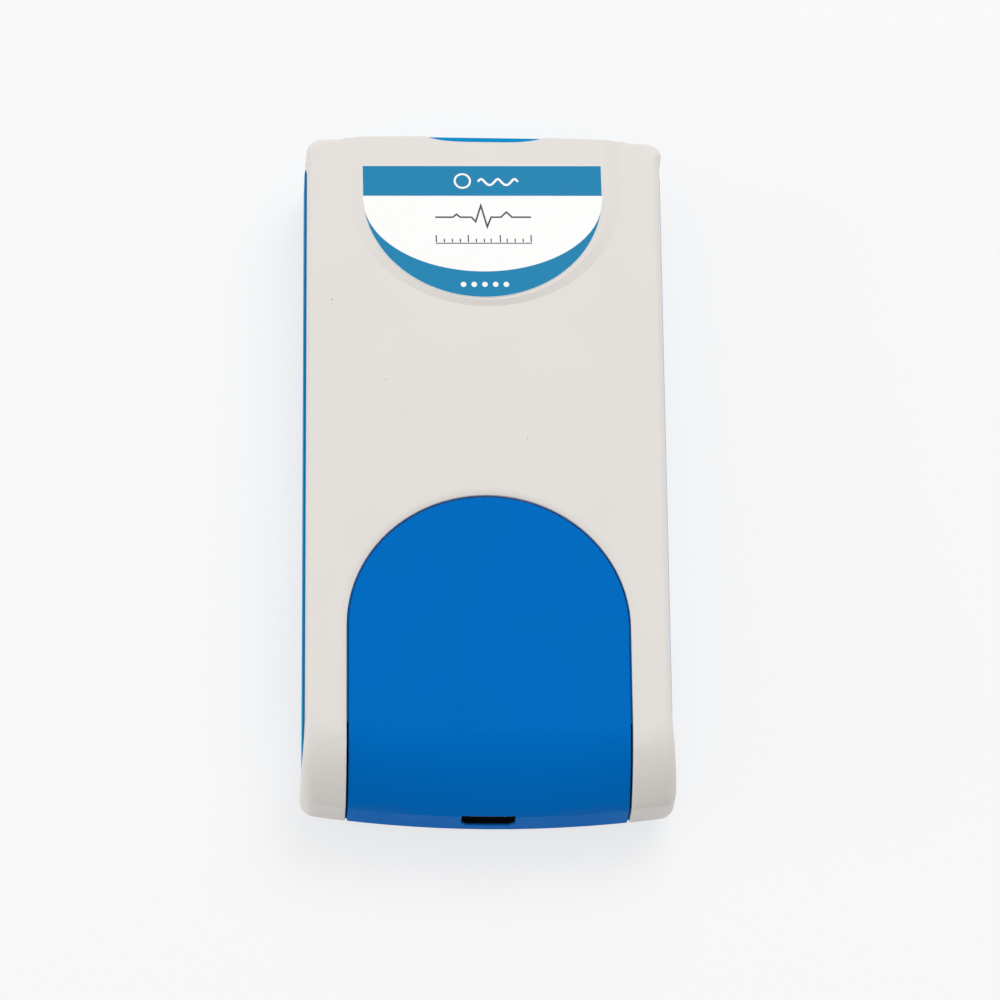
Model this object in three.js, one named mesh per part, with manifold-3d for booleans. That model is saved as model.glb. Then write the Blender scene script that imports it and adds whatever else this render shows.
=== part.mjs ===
// Heart-signal sensor box with a USB socket at its near end and an electrode jack at its far end.
// Off-white upper shell over a blue lower shell, with an arched blue cover that slides off the near end.
// Units are millimetres. +Z is up, +X is to the right and +Y runs from the USB end to the electrode jack.
// The origin is under the middle of the case, on the surface that its feet stand on.
import * as THREE from 'three';
import { mergeVertices } from 'three/addons/utils/BufferGeometryUtils.js';
import Module from 'manifold-3d';

// Case
const caseWidth = 54;
const caseLength = 107;
const caseHeight = 16;
const footProud = 0.6;
const cornerRadius = 2;
const lowerCornerRadius = 2.8;
const leastRadius = 0.8;
const nearBow = 2.1;
const farBow = 0.6;
const cutOverrun = 2;
const joinOverlap = 0.3;

// Walls and the gaps between separate pieces
const upperWall = 1.8;
const topWall = 2;
const lowerWall = 2.6;
const floorWall = 1.8;
const partGap = 0.3;

// Sloping chin at the near end of the top, and the rounding along the other top edges
const chinRun = 9.8;
const chinDrop = 6;
const chinShares = [[0, 0], [0.36, 0.02], [0.78, 0.4], [1, 1]];
const chinSteps = 10;
const topEdgeRadius = 1.2;
const farEdgeRadius = 0.8;
const flankDraft = 0.2;

// Parting line: high along the flanks and the far end, and low across the near end, under the USB opening
const partingHeight = 9.5;
const openingSill = 1.85;
const swoopStart = 15.5;
const swoopLength = 6.5;
const swoopSteps = 10;
const flankStep = 0.36;
const flareRun = 13;
const flareOverlap = 0.3;
const farFlareEnd = 2;
const farFlareRun = 1.6;
const sideShares = [0.01, 0.03, 0.055, 0.08, 0.105, 0.135, 0.5, 0.981, 0.986, 0.991, 0.996];

// Underside of the lower shell
const baseRadius = 2.2;
const baseSteps = 5;
const nearSetback = 0.6;
const nearUndercut = 4.6;
const lipWall = 1.1;
const lipRise = 1.3;
const lipRoot = 3;
const lipShares = [0.17, 0.86];

// Arched opening in the upper shell, the ledge under it and the cover that slides in it
const archWidth = 41.4;
const archApexFromNear = 48.2;
const archSoftening = 1;
const archSofteningDepth = 0.35;
const ledgeWidth = 2.2;
const ledgeThickness = 1.2;
const ledgeHold = 1.6;
const coverRecess = 0.3;
const coverPlate = 1.5;
const coverWall = 1.6;
const railWeb = 1.2;
const railLip = 1.0;
const railReach = 1.5;
const apexTabWidth = 9;
const apexTabReach = 1.4;
const apexTabRoot = 4.4;
const apexTabThickness = 0.9;

// Raised pad round the label, and the label
const padHalfWidth = 20.3;
const padStraight = 10;
const padCurve = 18.2;
const padRise = 0.4;
const padSlope = 1.9;
const padTipSlope = 0.9;
const padFarInset = 0.05;
const labelHalfWidth = 18;
const labelFromFar = 5.1;
const labelBand = 5.05;
const labelCurve = 16.85;
const labelThickness = 0.15;

// Far end: scoop in the upper shell and the connector bezel that fills it
const scoopWidth = 18.4;
const scoopFlatness = 4;
const scoopDepth = 0.85;
const bezelWidth = 18.6;
const bezelThickness = 2.2;
const bezelTopStep = 0.25;
const bezelChin = 4;
const flangeMargin = 1.9;
const flangeFoot = 0.9;
const flangeThickness = 1.2;

// Main board
const boardThickness = 1.6;
const boardHeadroom = 9.3;
const boardSideGap = 1.7;
const boardNearGap = 3.6;
const boardFarGap = 4.1;
const boardSlack = 0.3;

// Case screws from below, with a boss in each shell
const caseScrewSideInset = 4.8;
const caseScrewNearInset = 9.5;
const caseScrewFarInset = 8.4;
const caseBossRadius = 1.9;
const bossMeeting = 8;
const screwShank = 0.8;
const screwHole = 1.1;
const screwHead = 1.6;
const screwHeadHeight = 1;
const screwSink = 1.9;
const screwSinkHeight = 1.3;
const pilotRoof = 3.4;
const screwTipGap = 0.4;
const driveWidth = 0.5;
const driveDepth = 0.5;

// Board screws from above, each in a standoff
const standoffSideInset = 4.2;
const standoffNearInset = 12.4;
const standoffFarInset = 11.4;
const standoffRadius = 2.2;
const boardScrewEnd = 2.6;

// Feet
const footRadius = 3.5;
const footSideInset = 8;
const footEndInset = 18;
const footPocketDepth = 0.5;

// USB socket on the near edge of the board
const socketWidth = 7.4;
const socketHeight = 2.6;
const socketLength = 5.4;
const socketSkin = 0.3;
const socketSetback = 1.1;
const socketTaper = 0.9;
const socketBevel = 0.8;
const bladeWidth = 4.6;
const bladeThickness = 0.6;
const bladeSetback = 0.7;
const bladeRoot = 1.1;
const apertureWidth = 7.8;
const apertureHeight = 3.5;

// Electrode jack on the far edge of the board
const jackWidth = 6.4;
const jackHeight = 5.2;
const jackLength = 12;
const jackBore = 1.8;
const jackSleeveRadius = 2.9;
const jackSleeveSetback = 0.3;
const jackBoreDepth = 10.4;

// Shield can over the analogue input stage
const canWidth = 22;
const canLength = 20;
const canHeight = 3;
const canSkin = 0.3;
const canSideShare = 0.13;

// Block-shaped components on the board: the place across as a share of the board's half width, the place
// from the board's near edge, then width, length and height
const boardBlocks = {
  surge_protector: { sideShare: 0, fromNear: 6.4, width: 3, length: 1.7, height: 1.1, colour: 0x1c1d20 },
  usb_bridge_chip: { sideShare: -0.33, fromNear: 11.4, width: 5, length: 5, height: 0.9, colour: 0x1c1d20 },
  power_inductor: { sideShare: 0.42, fromNear: 9.4, width: 6, length: 6, height: 2.8, colour: 0x3a3b3f },
  microcontroller: { sideShare: 0.2, fromNear: 21.9, width: 7, length: 7, height: 1.4, colour: 0x1c1d20 },
  tantalum_capacitor: {
    sideShare: -0.63, fromNear: 19.9, width: 4.3, length: 7.3, height: 2.8, colour: 0xc98a2b,
  },
  isolated_converter: {
    sideShare: -0.35, fromNear: 36.9, width: 12.8, length: 9.4, height: 5.6, colour: 0x26272b,
  },
  digital_isolator: {
    sideShare: 0.28, fromNear: 36.9, width: 7.5, length: 10.3, height: 2.4, colour: 0x1c1d20,
  },
};

// Chips of the input stage: the signal converter beside the shield can, and the amplifier under it
const converterChip = {
  sideShare: -0.64, fromCan: -6, width: 4.4, length: 5, height: 1.1, colour: 0x1c1d20,
};
const amplifierChip = { width: 3.9, length: 4.9, height: 1.5, colour: 0x1c1d20 };

// Crystal, round capacitor and programming pins
const crystalSideShare = -0.242;
const crystalFromNear = 20.4;
const crystalWidth = 4.6;
const crystalLength = 10.6;
const crystalHeight = 3.4;
const capacitorSideShare = 0.68;
const capacitorFromNear = 33.4;
const capacitorRadius = 3.15;
const capacitorHeight = 5.4;
const capacitorFoot = 1;
const pinPitch = 2.54;
const pinCount = 5;
const pinWidth = 0.64;
const pinHeight = 5.6;
const pinBase = 2.5;
const pinSideShare = -0.82;
const pinFromNear = 31.4;

// Facets
const roundSteps = 24;
const cornerSteps = 6;
const endSteps = 14;
const archSteps = 24;
const scoopSteps = 48;

// Derived levels and places. Heights below are above the surface that the feet stand on.
const base = footProud;
const top = base + caseHeight;
const parting = base + partingHeight;
const nearEnd = -caseLength / 2;
const farEnd = caseLength / 2;
const lowerHalf = caseWidth / 2;
const upperHalf = lowerHalf - flankStep;
const floorTop = base + floorWall;
const ceiling = top - topWall;
const archHalf = archWidth / 2;
const archCentre = nearEnd + archApexFromNear - archHalf;
const coverHalf = archHalf - partGap;
const plateTop = top - coverRecess;
const plateBottom = plateTop - coverPlate;
const ledgeTop = plateBottom - partGap;
const ledgeBottom = ledgeTop - ledgeThickness;
const ledgeInner = archHalf - ledgeWidth;
const chinStart = nearEnd + nearBow + chinRun;
const ledgeStart = chinStart + coverWall + partGap;
const boardUpper = top - boardHeadroom;
const apertureBottom = boardUpper + (socketHeight - apertureHeight) / 2;
const skirt = apertureBottom - openingSill;
const boardLower = boardUpper - boardThickness;
const boardHalfWidth = lowerHalf - lowerWall - boardSideGap;
const boardNear = nearEnd + boardNearGap;
const boardFar = farEnd - boardFarGap;
const socketFront = nearEnd + socketSetback;
const bezelFace = farEnd;
const bezelBack = bezelFace - bezelThickness;
const bezelInner = bezelBack - flangeThickness;
const jackAxisHeight = boardUpper + jackHeight / 2;
const jackFront = bezelInner - partGap;
const jackRear = jackFront - jackLength;
const bezelBottom = jackAxisHeight - bezelChin;
const isolatorRow = boardNear + boardBlocks.digital_isolator.fromNear;
const isolatorFar = isolatorRow + boardBlocks.digital_isolator.length / 2;
const canX = boardHalfWidth * canSideShare;
const canY = (isolatorFar + jackRear) / 2;
const crystalX = boardHalfWidth * crystalSideShare;
const crystalY = boardNear + crystalFromNear;
const capacitorX = boardHalfWidth * capacitorSideShare;
const capacitorY = boardNear + capacitorFromNear;
const pinRowX = boardHalfWidth * pinSideShare;
const pinRowY = boardNear + pinFromNear;
const pilotTop = top - pilotRoof;
const screwTip = pilotTop - screwTipGap;
const caseScrewX = lowerHalf - caseScrewSideInset;
const standoffX = boardHalfWidth - standoffSideInset;
const standoffNearY = boardNear + standoffNearInset;
const standoffFarY = boardFar - standoffFarInset;
const footX = lowerHalf - footSideInset;
const footY = farEnd - footEndInset;
const caseScrews = [
  { name: 'case_screw_near_left', x: -caseScrewX, y: nearEnd + caseScrewNearInset },
  { name: 'case_screw_near_right', x: caseScrewX, y: nearEnd + caseScrewNearInset },
  { name: 'case_screw_far_left', x: -caseScrewX, y: farEnd - caseScrewFarInset },
  { name: 'case_screw_far_right', x: caseScrewX, y: farEnd - caseScrewFarInset },
];
const boardScrews = [
  { name: 'board_screw_near_left', x: -standoffX, y: standoffNearY },
  { name: 'board_screw_near_right', x: standoffX, y: standoffNearY },
  { name: 'board_screw_far_left', x: -standoffX, y: standoffFarY },
  { name: 'board_screw_far_right', x: standoffX, y: standoffFarY },
];
const feet = [
  { name: 'foot_near_left', x: -footX, y: -footY },
  { name: 'foot_near_right', x: footX, y: -footY },
  { name: 'foot_far_left', x: -footX, y: footY },
  { name: 'foot_far_right', x: footX, y: footY },
];

const wasm = await Module();
wasm.setup();

// A closed geometry as a solid that can be joined and cut.
function solid(geometry) {
  const bare = geometry.clone();
  bare.deleteAttribute('normal');
  bare.deleteAttribute('uv');
  const merged = mergeVertices(bare);
  const mesh = new wasm.Mesh({
    numProp: 3,
    vertProperties: new Float32Array(merged.attributes.position.array),
    triVerts: new Uint32Array(merged.index.array),
  });
  return new wasm.Manifold(mesh);
}

function join(...pieces) {
  return pieces.reduce((whole, piece) => whole.add(piece));
}

function cut(whole, ...tools) {
  return tools.reduce((left, tool) => left.subtract(tool), whole);
}

function toGeometry(piece) {
  const mesh = piece.getMesh();
  const geometry = new THREE.BufferGeometry();
  geometry.setAttribute('position', new THREE.BufferAttribute(new Float32Array(mesh.vertProperties), 3));
  geometry.setIndex(new THREE.BufferAttribute(new Uint32Array(mesh.triVerts), 1));
  geometry.computeVertexNormals();
  return geometry;
}

// A block between two corners.
function block(x0, x1, y0, y1, z0, z1) {
  const geometry = new THREE.BoxGeometry(x1 - x0, y1 - y0, z1 - z0);
  geometry.translate((x0 + x1) / 2, (y0 + y1) / 2, (z0 + z1) / 2);
  return solid(geometry);
}

// An upright round bar.
function post(x, y, radius, z0, z1, steps = roundSteps) {
  const geometry = new THREE.CylinderGeometry(radius, radius, z1 - z0, steps);
  geometry.rotateX(Math.PI / 2);
  geometry.translate(x, y, (z0 + z1) / 2);
  return solid(geometry);
}

// A round bar along Y.
function bar(x, z, radius, y0, y1, steps = roundSteps) {
  const geometry = new THREE.CylinderGeometry(radius, radius, y1 - y0, steps);
  geometry.translate(x, (y0 + y1) / 2, z);
  return solid(geometry);
}

// A plan shape raised between two heights.
function raised(shape, z0, z1, curveSegments = archSteps) {
  const geometry = new THREE.ExtrudeGeometry(shape, { depth: z1 - z0, bevelEnabled: false, curveSegments });
  geometry.translate(0, 0, z0);
  return solid(geometry);
}

// A shape drawn in Y and Z, carried along X.
function carriedAlongX(shape, x0, x1) {
  const geometry = new THREE.ExtrudeGeometry(shape, { depth: x1 - x0, bevelEnabled: false });
  const turn = new THREE.Matrix4().makeBasis(
    new THREE.Vector3(0, 1, 0), new THREE.Vector3(0, 0, 1), new THREE.Vector3(1, 0, 0));
  geometry.applyMatrix4(turn);
  geometry.translate(x0, 0, 0);
  return solid(geometry);
}

// A shape drawn in X and Z, carried along Y.
function carriedAlongY(shape, y0, y1) {
  const geometry = new THREE.ExtrudeGeometry(shape, { depth: y1 - y0, bevelEnabled: false });
  const turn = new THREE.Matrix4().makeBasis(
    new THREE.Vector3(1, 0, 0), new THREE.Vector3(0, 0, 1), new THREE.Vector3(0, -1, 0));
  geometry.applyMatrix4(turn);
  geometry.translate(0, y1, 0);
  return solid(geometry);
}

// Skins a stack of level outlines with equal point counts, lowest first, each anticlockwise from above.
function loft(rings) {
  const count = rings[0].length;
  const positions = rings.flat().flatMap((point) => [point.x, point.y, point.z]);
  const indices = [];
  for (let level = 1; level < rings.length; level += 1) {
    const low = (level - 1) * count;
    const high = level * count;
    for (let i = 0; i < count; i += 1) {
      const j = (i + 1) % count;
      indices.push(low + i, low + j, high + j);
      indices.push(low + i, high + j, high + i);
    }
  }
  const last = (rings.length - 1) * count;
  for (const [a, b, c] of THREE.ShapeUtils.triangulateShape(rings[0].slice(), [])) {
    indices.push(a, c, b);
  }
  for (const [a, b, c] of THREE.ShapeUtils.triangulateShape(rings.at(-1).slice(), [])) {
    indices.push(last + a, last + b, last + c);
  }
  const geometry = new THREE.BufferGeometry();
  geometry.setAttribute('position', new THREE.Float32BufferAttribute(positions, 3));
  geometry.setIndex(indices);
  return solid(geometry);
}

function smoothStep(value) {
  const t = THREE.MathUtils.clamp(value, 0, 1);
  return t * t * (3 - 2 * t);
}

// Level outline of the case at height z. near is where the near end meets the flanks; bow is how far its
// middle stands beyond that. Both ends of each flank can flare outwards.
function caseOutline({ z, halfWidth, near, far, radius, bow, flare, farFlare }) {
  const points = [];
  const corner = (centreX, centreY, startAngle) => {
    for (let i = 0; i <= cornerSteps; i += 1) {
      const angle = startAngle + (i / cornerSteps) * Math.PI / 2;
      points.push([centreX + radius * Math.cos(angle), centreY + radius * Math.sin(angle)]);
    }
  };
  const inner = halfWidth - radius;
  const side = (sign, shares) => {
    for (const share of shares) {
      points.push([sign * halfWidth, THREE.MathUtils.lerp(near + radius, far - radius, share)]);
    }
  };
  const end = (from, y) => {
    for (let i = 1; i < endSteps; i += 1) {
      points.push([from * (1 - 2 * i / endSteps), y]);
    }
  };
  end(-inner, near);
  corner(inner, near + radius, -Math.PI / 2);
  side(1, sideShares);
  corner(inner, far - radius, 0);
  end(inner, far);
  corner(-inner, far - radius, Math.PI / 2);
  side(-1, [...sideShares].reverse());
  corner(-inner, near + radius, Math.PI);
  return points.map(([x, y]) => {
    const bulge = 1 - (x / halfWidth) ** 2;
    const shift = y < 0 ? -bow * bulge : farBow * bulge;
    const nearSpread = flare * smoothStep((nearEnd + swoopStart - y) / flareRun);
    const farSpread = farFlare * smoothStep((y - farEnd + farFlareEnd + farFlareRun) / farFlareRun);
    const spread = 1 + (nearSpread + farSpread) / halfWidth;
    return new THREE.Vector3(x * spread, y + shift, z);
  });
}

// How far a rounded top edge has drawn in at a height.
function edgeRoll(radius, height) {
  const above = Math.max(0, height - (top - radius));
  return radius - Math.sqrt(Math.max(0, radius ** 2 - above ** 2));
}

// Outlines from the skirt's lower edge up over the chin. inset shrinks them sideways and at both ends,
// and drop lowers them, so one profile serves the outer faces, the inner faces and the cover.
function upperRings(inset, drop, lowest) {
  const chin = new THREE.CubicBezierCurve(...chinShares.map(([run, fall]) =>
    new THREE.Vector2(run * chinRun, fall * chinDrop)));
  const level = (z, run, height) => {
    const edgeInset = edgeRoll(topEdgeRadius, height);
    const rise = (height - parting) / (top - parting);
    const shrink = inset + edgeInset + flankDraft * Math.max(0, rise);
    return caseOutline({
      z,
      halfWidth: upperHalf - shrink,
      near: nearEnd + nearBow + chinRun - run + inset,
      far: farEnd - farBow - inset - edgeRoll(farEdgeRadius, height),
      radius: Math.max(cornerRadius - inset, leastRadius),
      bow: nearBow * run / chinRun,
      flare: flankStep + flareOverlap,
      farFlare: flankStep,
    });
  };
  const rings = [level(lowest, chinRun, parting)];
  for (let i = chinSteps; i >= 0; i -= 1) {
    const { x: run, y: fall } = chin.getPoint(i / chinSteps);
    rings.push(level(top - fall - drop, run, top - fall));
  }
  return rings;
}

// Outlines of the lower shell, with a rounded lower edge and a near end that tucks under the skirt.
function lowerRings(inset, lowest, highest) {
  const level = (z) => {
    const height = Math.max(z, base);
    const below = Math.max(0, base + baseRadius - height);
    const edgeInset = baseRadius - Math.sqrt(Math.max(0, baseRadius ** 2 - below ** 2));
    const under = Math.max(0, skirt - height) / (skirt - base);
    const tuck = nearSetback + nearUndercut * (1 - Math.sqrt(Math.max(0, 1 - under ** 2)));
    return caseOutline({
      z,
      halfWidth: lowerHalf - inset - edgeInset,
      near: nearEnd + nearBow + tuck + inset,
      far: farEnd - farBow - inset - edgeInset,
      radius: Math.max(lowerCornerRadius - inset, leastRadius),
      bow: nearBow,
      flare: 0,
      farFlare: 0,
    });
  };
  const heights = [lowest];
  for (let i = 1; i < baseSteps; i += 1) {
    heights.push(base + baseRadius * (1 - Math.cos((i / baseSteps) * Math.PI / 2)));
  }
  heights.push(base + baseRadius, skirt, highest);
  return heights.filter((z) => z >= lowest).sort((a, b) => a - b).map(level);
}

// Everything above the parting line, moved up by lift.
function abovePartingLine(lift) {
  const shape = new THREE.Shape();
  const high = top + cutOverrun;
  shape.moveTo(nearEnd - cutOverrun, high);
  shape.lineTo(nearEnd - cutOverrun, skirt + lift);
  for (let i = 0; i <= swoopSteps; i += 1) {
    const share = i / swoopSteps;
    const y = nearEnd + swoopStart - swoopLength * (1 - share);
    shape.lineTo(y, THREE.MathUtils.lerp(skirt, parting, smoothStep(share)) + lift);
  }
  shape.lineTo(farEnd + cutOverrun, parting + lift);
  shape.lineTo(farEnd + cutOverrun, high);
  shape.closePath();
  return carriedAlongX(shape, -caseWidth, caseWidth);
}

// Arch in plan: straight sides from the near end and a round far end.
function archShape(half, near = nearEnd - cutOverrun) {
  const shape = new THREE.Shape();
  shape.moveTo(-half, near);
  shape.lineTo(half, near);
  shape.lineTo(half, archCentre);
  shape.absarc(0, archCentre, half, 0, Math.PI, false);
  shape.closePath();
  return shape;
}

function archRing(half, z) {
  return archShape(half).getPoints(archSteps).slice(0, -1).map(({ x, y }) => new THREE.Vector3(x, y, z));
}

// U-shaped outline: straight from the far side, then half an ellipse towards the near end.
function shieldRing(half, far, straight, curve, z) {
  const points = [new THREE.Vector3(half, far, z), new THREE.Vector3(-half, far, z)];
  for (let i = 0; i <= archSteps; i += 1) {
    const angle = Math.PI + (i / archSteps) * Math.PI;
    points.push(new THREE.Vector3(half * Math.cos(angle), far - straight + curve * Math.sin(angle), z));
  }
  return points;
}

// Level outline of the case's top, drawn in at the far end.
function topOutline(farInset, z) {
  return caseOutline({
    z,
    halfWidth: upperHalf,
    near: nearEnd,
    far: farEnd - farBow - farInset,
    radius: cornerRadius,
    bow: 0,
    flare: 0,
    farFlare: 0,
  });
}

// Raised pad with sloping sides, which runs out to the far edge and carries the label.
function labelPad() {
  const far = farEnd + cutOverrun;
  const straight = padStraight + padFarInset + cutOverrun;
  const buried = joinOverlap / padRise;
  const low = top - joinOverlap;
  const pad = loft([
    shieldRing(padHalfWidth + padSlope * buried, far, straight, padCurve + padTipSlope * buried, low),
    shieldRing(padHalfWidth - padSlope, far, straight, padCurve - padTipSlope, top + padRise),
  ]);
  return pad.intersect(loft([topOutline(padFarInset, low), topOutline(padFarInset, top + padRise)]));
}

function makeLabel() {
  const far = farEnd - labelFromFar;
  const low = top + padRise;
  return loft([
    shieldRing(labelHalfWidth, far, labelBand, labelCurve, low),
    shieldRing(labelHalfWidth, far, labelBand, labelCurve, low + labelThickness),
  ]);
}

// Upright tool whose near edge makes the shallow, flat-bottomed scoop in the far edge of the top.
function scoopTool(extra, z0, z1) {
  const half = scoopWidth / 2 + extra;
  const shape = new THREE.Shape();
  shape.moveTo(half, bezelFace + cutOverrun);
  shape.lineTo(-half, bezelFace + cutOverrun);
  for (let i = 0; i <= scoopSteps; i += 1) {
    const share = 2 * i / scoopSteps - 1;
    shape.lineTo(half * share, bezelFace - (scoopDepth + extra) * (1 - share ** scoopFlatness));
  }
  return raised(shape, z0, z1);
}

// Window through the far wall for the bezel, from its lower edge up to the ceiling.
function bezelWindow(gap) {
  const half = bezelWidth / 2 + gap;
  return block(-half, half, bezelInner - cutOverrun, farEnd + cutOverrun, bezelBottom - gap, ceiling);
}

// Pocket inside the far wall of the lower shell that traps the bezel's flange.
function flangePocket(gap) {
  const half = bezelWidth / 2 + flangeMargin + gap;
  const low = bezelBottom - flangeFoot - gap;
  return block(-half, half, bezelInner - cutOverrun, bezelBack + gap, low, ceiling);
}

// Ledge that follows the arch just under the cover, with a notch for the cover's tab.
function coverLedge() {
  const outer = raised(archShape(archHalf + ledgeHold, ledgeStart), ledgeBottom, ceiling + joinOverlap);
  const inner = raised(archShape(ledgeInner), ledgeBottom - cutOverrun, top);
  const notch = apexTabWidth / 2 + partGap;
  return cut(outer, inner, block(-notch, notch, archCentre, farEnd, ledgeBottom - cutOverrun, ceiling));
}

function makeUpperShell() {
  const outer = loft(upperRings(0, 0, base));
  const hollow = loft(upperRings(upperWall, topWall, base - cutOverrun));
  const bosses = caseScrews.map(({ x, y }) =>
    post(x, y, caseBossRadius, base + bossMeeting, ceiling + joinOverlap));
  const softening = loft([
    archRing(archHalf - archSoftening, top - archSofteningDepth * 2),
    archRing(archHalf + archSoftening, top),
    archRing(archHalf + archSoftening, top + cutOverrun),
  ]);
  const pilots = caseScrews.map(({ x, y }) => post(x, y, screwHole, base, pilotTop));
  const shell = cut(
    join(cut(outer, hollow), coverLedge(), ...bosses, labelPad()),
    raised(archShape(archHalf), ledgeTop, top + cutOverrun),
    raised(archShape(archHalf), base - cutOverrun, ledgeTop + joinOverlap)
      .intersect(block(-caseWidth, caseWidth, nearEnd - cutOverrun, ledgeStart, base - cutOverrun, top)),
    softening,
    scoopTool(partGap / 2, ceiling - joinOverlap, top + cutOverrun),
    bezelWindow(partGap),
    ...pilots,
  );
  return shell.intersect(abovePartingLine(partGap / 2));
}

function makeLowerShell() {
  const outer = loft(lowerRings(0, base, top));
  const hollow = loft(lowerRings(lowerWall, floorTop, top + cutOverrun));
  const flank = lowerHalf - lowerWall;
  const lips = [-1, 1].map((side) => {
    const inner = side * (upperHalf - upperWall - flankDraft - partGap - lipWall);
    const outerFace = side * (flank + joinOverlap);
    const [x0, x1] = [inner, outerFace].sort((a, b) => a - b);
    const [y0, y1] = lipShares.map((share) => THREE.MathUtils.lerp(nearEnd, farEnd, share));
    return block(x0, x1, y0, y1, parting - lipRoot, parting + lipRise);
  });
  const lipRelief = [-1, 1].map((side) => {
    const face = side * (upperHalf - upperWall - flankDraft - partGap);
    const [x0, x1] = [face, side * caseWidth].sort((a, b) => a - b);
    return block(x0, x1, nearEnd, farEnd, parting - partGap / 2, top);
  });
  const bosses = caseScrews.map(({ x, y }) =>
    post(x, y, caseBossRadius, floorTop - joinOverlap, base + bossMeeting - partGap));
  const standoffs = boardScrews.map(({ x, y }) =>
    post(x, y, standoffRadius, floorTop - joinOverlap, boardLower));
  const screwHoles = caseScrews.map(({ x, y }) => post(x, y, screwHole, base - cutOverrun, top));
  const screwSinks = caseScrews.map(({ x, y }) =>
    post(x, y, screwSink, base - cutOverrun, base + screwSinkHeight));
  const standoffHoles = boardScrews.map(({ x, y }) =>
    post(x, y, screwHole, base + boardScrewEnd - partGap, top));
  const footPockets = feet.map(({ x, y }) =>
    post(x, y, footRadius + partGap, base - cutOverrun, base + footPocketDepth));
  const walls = cut(outer, hollow).subtract(abovePartingLine(-partGap / 2));
  return cut(
    join(walls, ...lips, ...bosses, ...standoffs),
    ...lipRelief,
    ...screwHoles,
    ...screwSinks,
    ...standoffHoles,
    ...footPockets,
    bezelWindow(partGap),
    flangePocket(partGap),
    socketOpening(),
  );
}

// Socket outline in X and Z: wide at the top, with the two lower corners cut away.
function socketShape(width, height, bottom, bevel) {
  const half = width / 2;
  const narrow = half - bevel;
  const shape = new THREE.Shape();
  shape.moveTo(-narrow, bottom);
  shape.lineTo(narrow, bottom);
  shape.lineTo(half, bottom + bevel);
  shape.lineTo(half, bottom + height);
  shape.lineTo(-half, bottom + height);
  shape.lineTo(-half, bottom + bevel);
  shape.closePath();
  return shape;
}

// Opening for the USB socket, through whatever wall stands in front of it.
function socketOpening() {
  const outline = socketShape(apertureWidth, apertureHeight, apertureBottom, socketBevel);
  return carriedAlongY(outline, nearEnd - cutOverrun, boardNear);
}

// Arched cover: a plate that bends down over the chin, with an L-shaped rail under each straight side.
function makeFrontCover() {
  const outer = loft(upperRings(0, coverRecess, base));
  const hollow = loft(upperRings(coverWall, coverRecess + coverPlate, base - cutOverrun));
  const plate = cut(outer, hollow).intersect(raised(archShape(coverHalf), skirt + partGap / 2, top));
  const web = ledgeInner - partGap;
  const rails = [-1, 1].map((side) => {
    const webSide = [side * (web - railWeb), side * web].sort((a, b) => a - b);
    const lipSide = [side * (web - railWeb), side * (web + railReach)].sort((a, b) => a - b);
    const lipTop = ledgeBottom - partGap;
    return join(
      block(...webSide, chinStart, archCentre, lipTop - railLip, plateBottom + joinOverlap),
      block(...lipSide, chinStart, archCentre, lipTop - railLip, lipTop),
    );
  });
  const apex = archCentre + coverHalf;
  const tabHalf = apexTabWidth / 2;
  const tabTop = ceiling - partGap;
  const tabLow = tabTop - apexTabThickness;
  const tabBack = apex - apexTabRoot;
  const tab = block(-tabHalf, tabHalf, tabBack, apex + apexTabReach, tabLow, tabTop);
  const tabRiser = block(-tabHalf, tabHalf, tabBack, apex - apexTabReach, tabLow, plateBottom + joinOverlap);
  return cut(join(plate, ...rails, tab, tabRiser), socketOpening());
}

// Bezel that fills the window in the far wall and the scoop above it, with a flange trapped inside.
function makeRearBezel() {
  const half = bezelWidth / 2;
  const panel = block(-half, half, bezelBack, bezelFace, bezelBottom, ceiling - partGap);
  const crescent = block(-half, half, bezelBack, bezelFace, ceiling - cutOverrun, top - bezelTopStep)
    .intersect(scoopTool(-partGap / 2, ceiling - cutOverrun, top));
  const flange = block(-half - flangeMargin, half + flangeMargin, bezelInner, bezelBack,
    bezelBottom - flangeFoot, ceiling - topEdgeRadius);
  const boreRadius = jackSleeveRadius + partGap;
  const bore = bar(0, jackAxisHeight, boreRadius, bezelInner - cutOverrun, bezelFace + cutOverrun);
  return cut(join(panel, crescent, flange), bore);
}

// Circuit board: its outline follows the inside of the lower shell, with a notch round each case boss.
function makeMainBoard() {
  const plate = block(-boardHalfWidth, boardHalfWidth, boardNear, boardFar, boardLower, boardUpper)
    .intersect(loft(lowerRings(lowerWall + boardSlack, floorTop, top)));
  const notches = caseScrews.map(({ x, y }) => {
    const reach = caseBossRadius + boardSlack;
    const outside = Math.sign(x) * caseWidth;
    const [x0, x1] = [x - Math.sign(x) * reach, outside].sort((a, b) => a - b);
    return y < 0
      ? block(x0, x1, nearEnd, y + reach, base, top)
      : block(x0, x1, y - reach, farEnd, base, top);
  });
  const holes = boardScrews.map(({ x, y }) => post(x, y, screwHole, base, top));
  return cut(plate, ...notches, ...holes);
}

// Round screw with a cross slot. A screw driven upwards has its head below.
function makeScrew({ x, y }, headFace, end) {
  const upwards = end > headFace;
  const direction = upwards ? 1 : -1;
  const under = headFace + direction * screwHeadHeight;
  const [head0, head1] = [headFace, under].sort((a, b) => a - b);
  const [shank0, shank1] = [under - direction * joinOverlap, end].sort((a, b) => a - b);
  const slotEnds = [headFace - direction * cutOverrun, headFace + direction * driveDepth];
  const [slot0, slot1] = slotEnds.sort((a, b) => a - b);
  const arm = screwHead - driveWidth;
  const half = driveWidth / 2;
  return cut(
    join(post(x, y, screwHead, head0, head1), post(x, y, screwShank, shank0, shank1)),
    block(x - arm, x + arm, y - half, y + half, slot0, slot1),
    block(x - half, x + half, y - arm, y + arm, slot0, slot1),
  );
}

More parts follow.
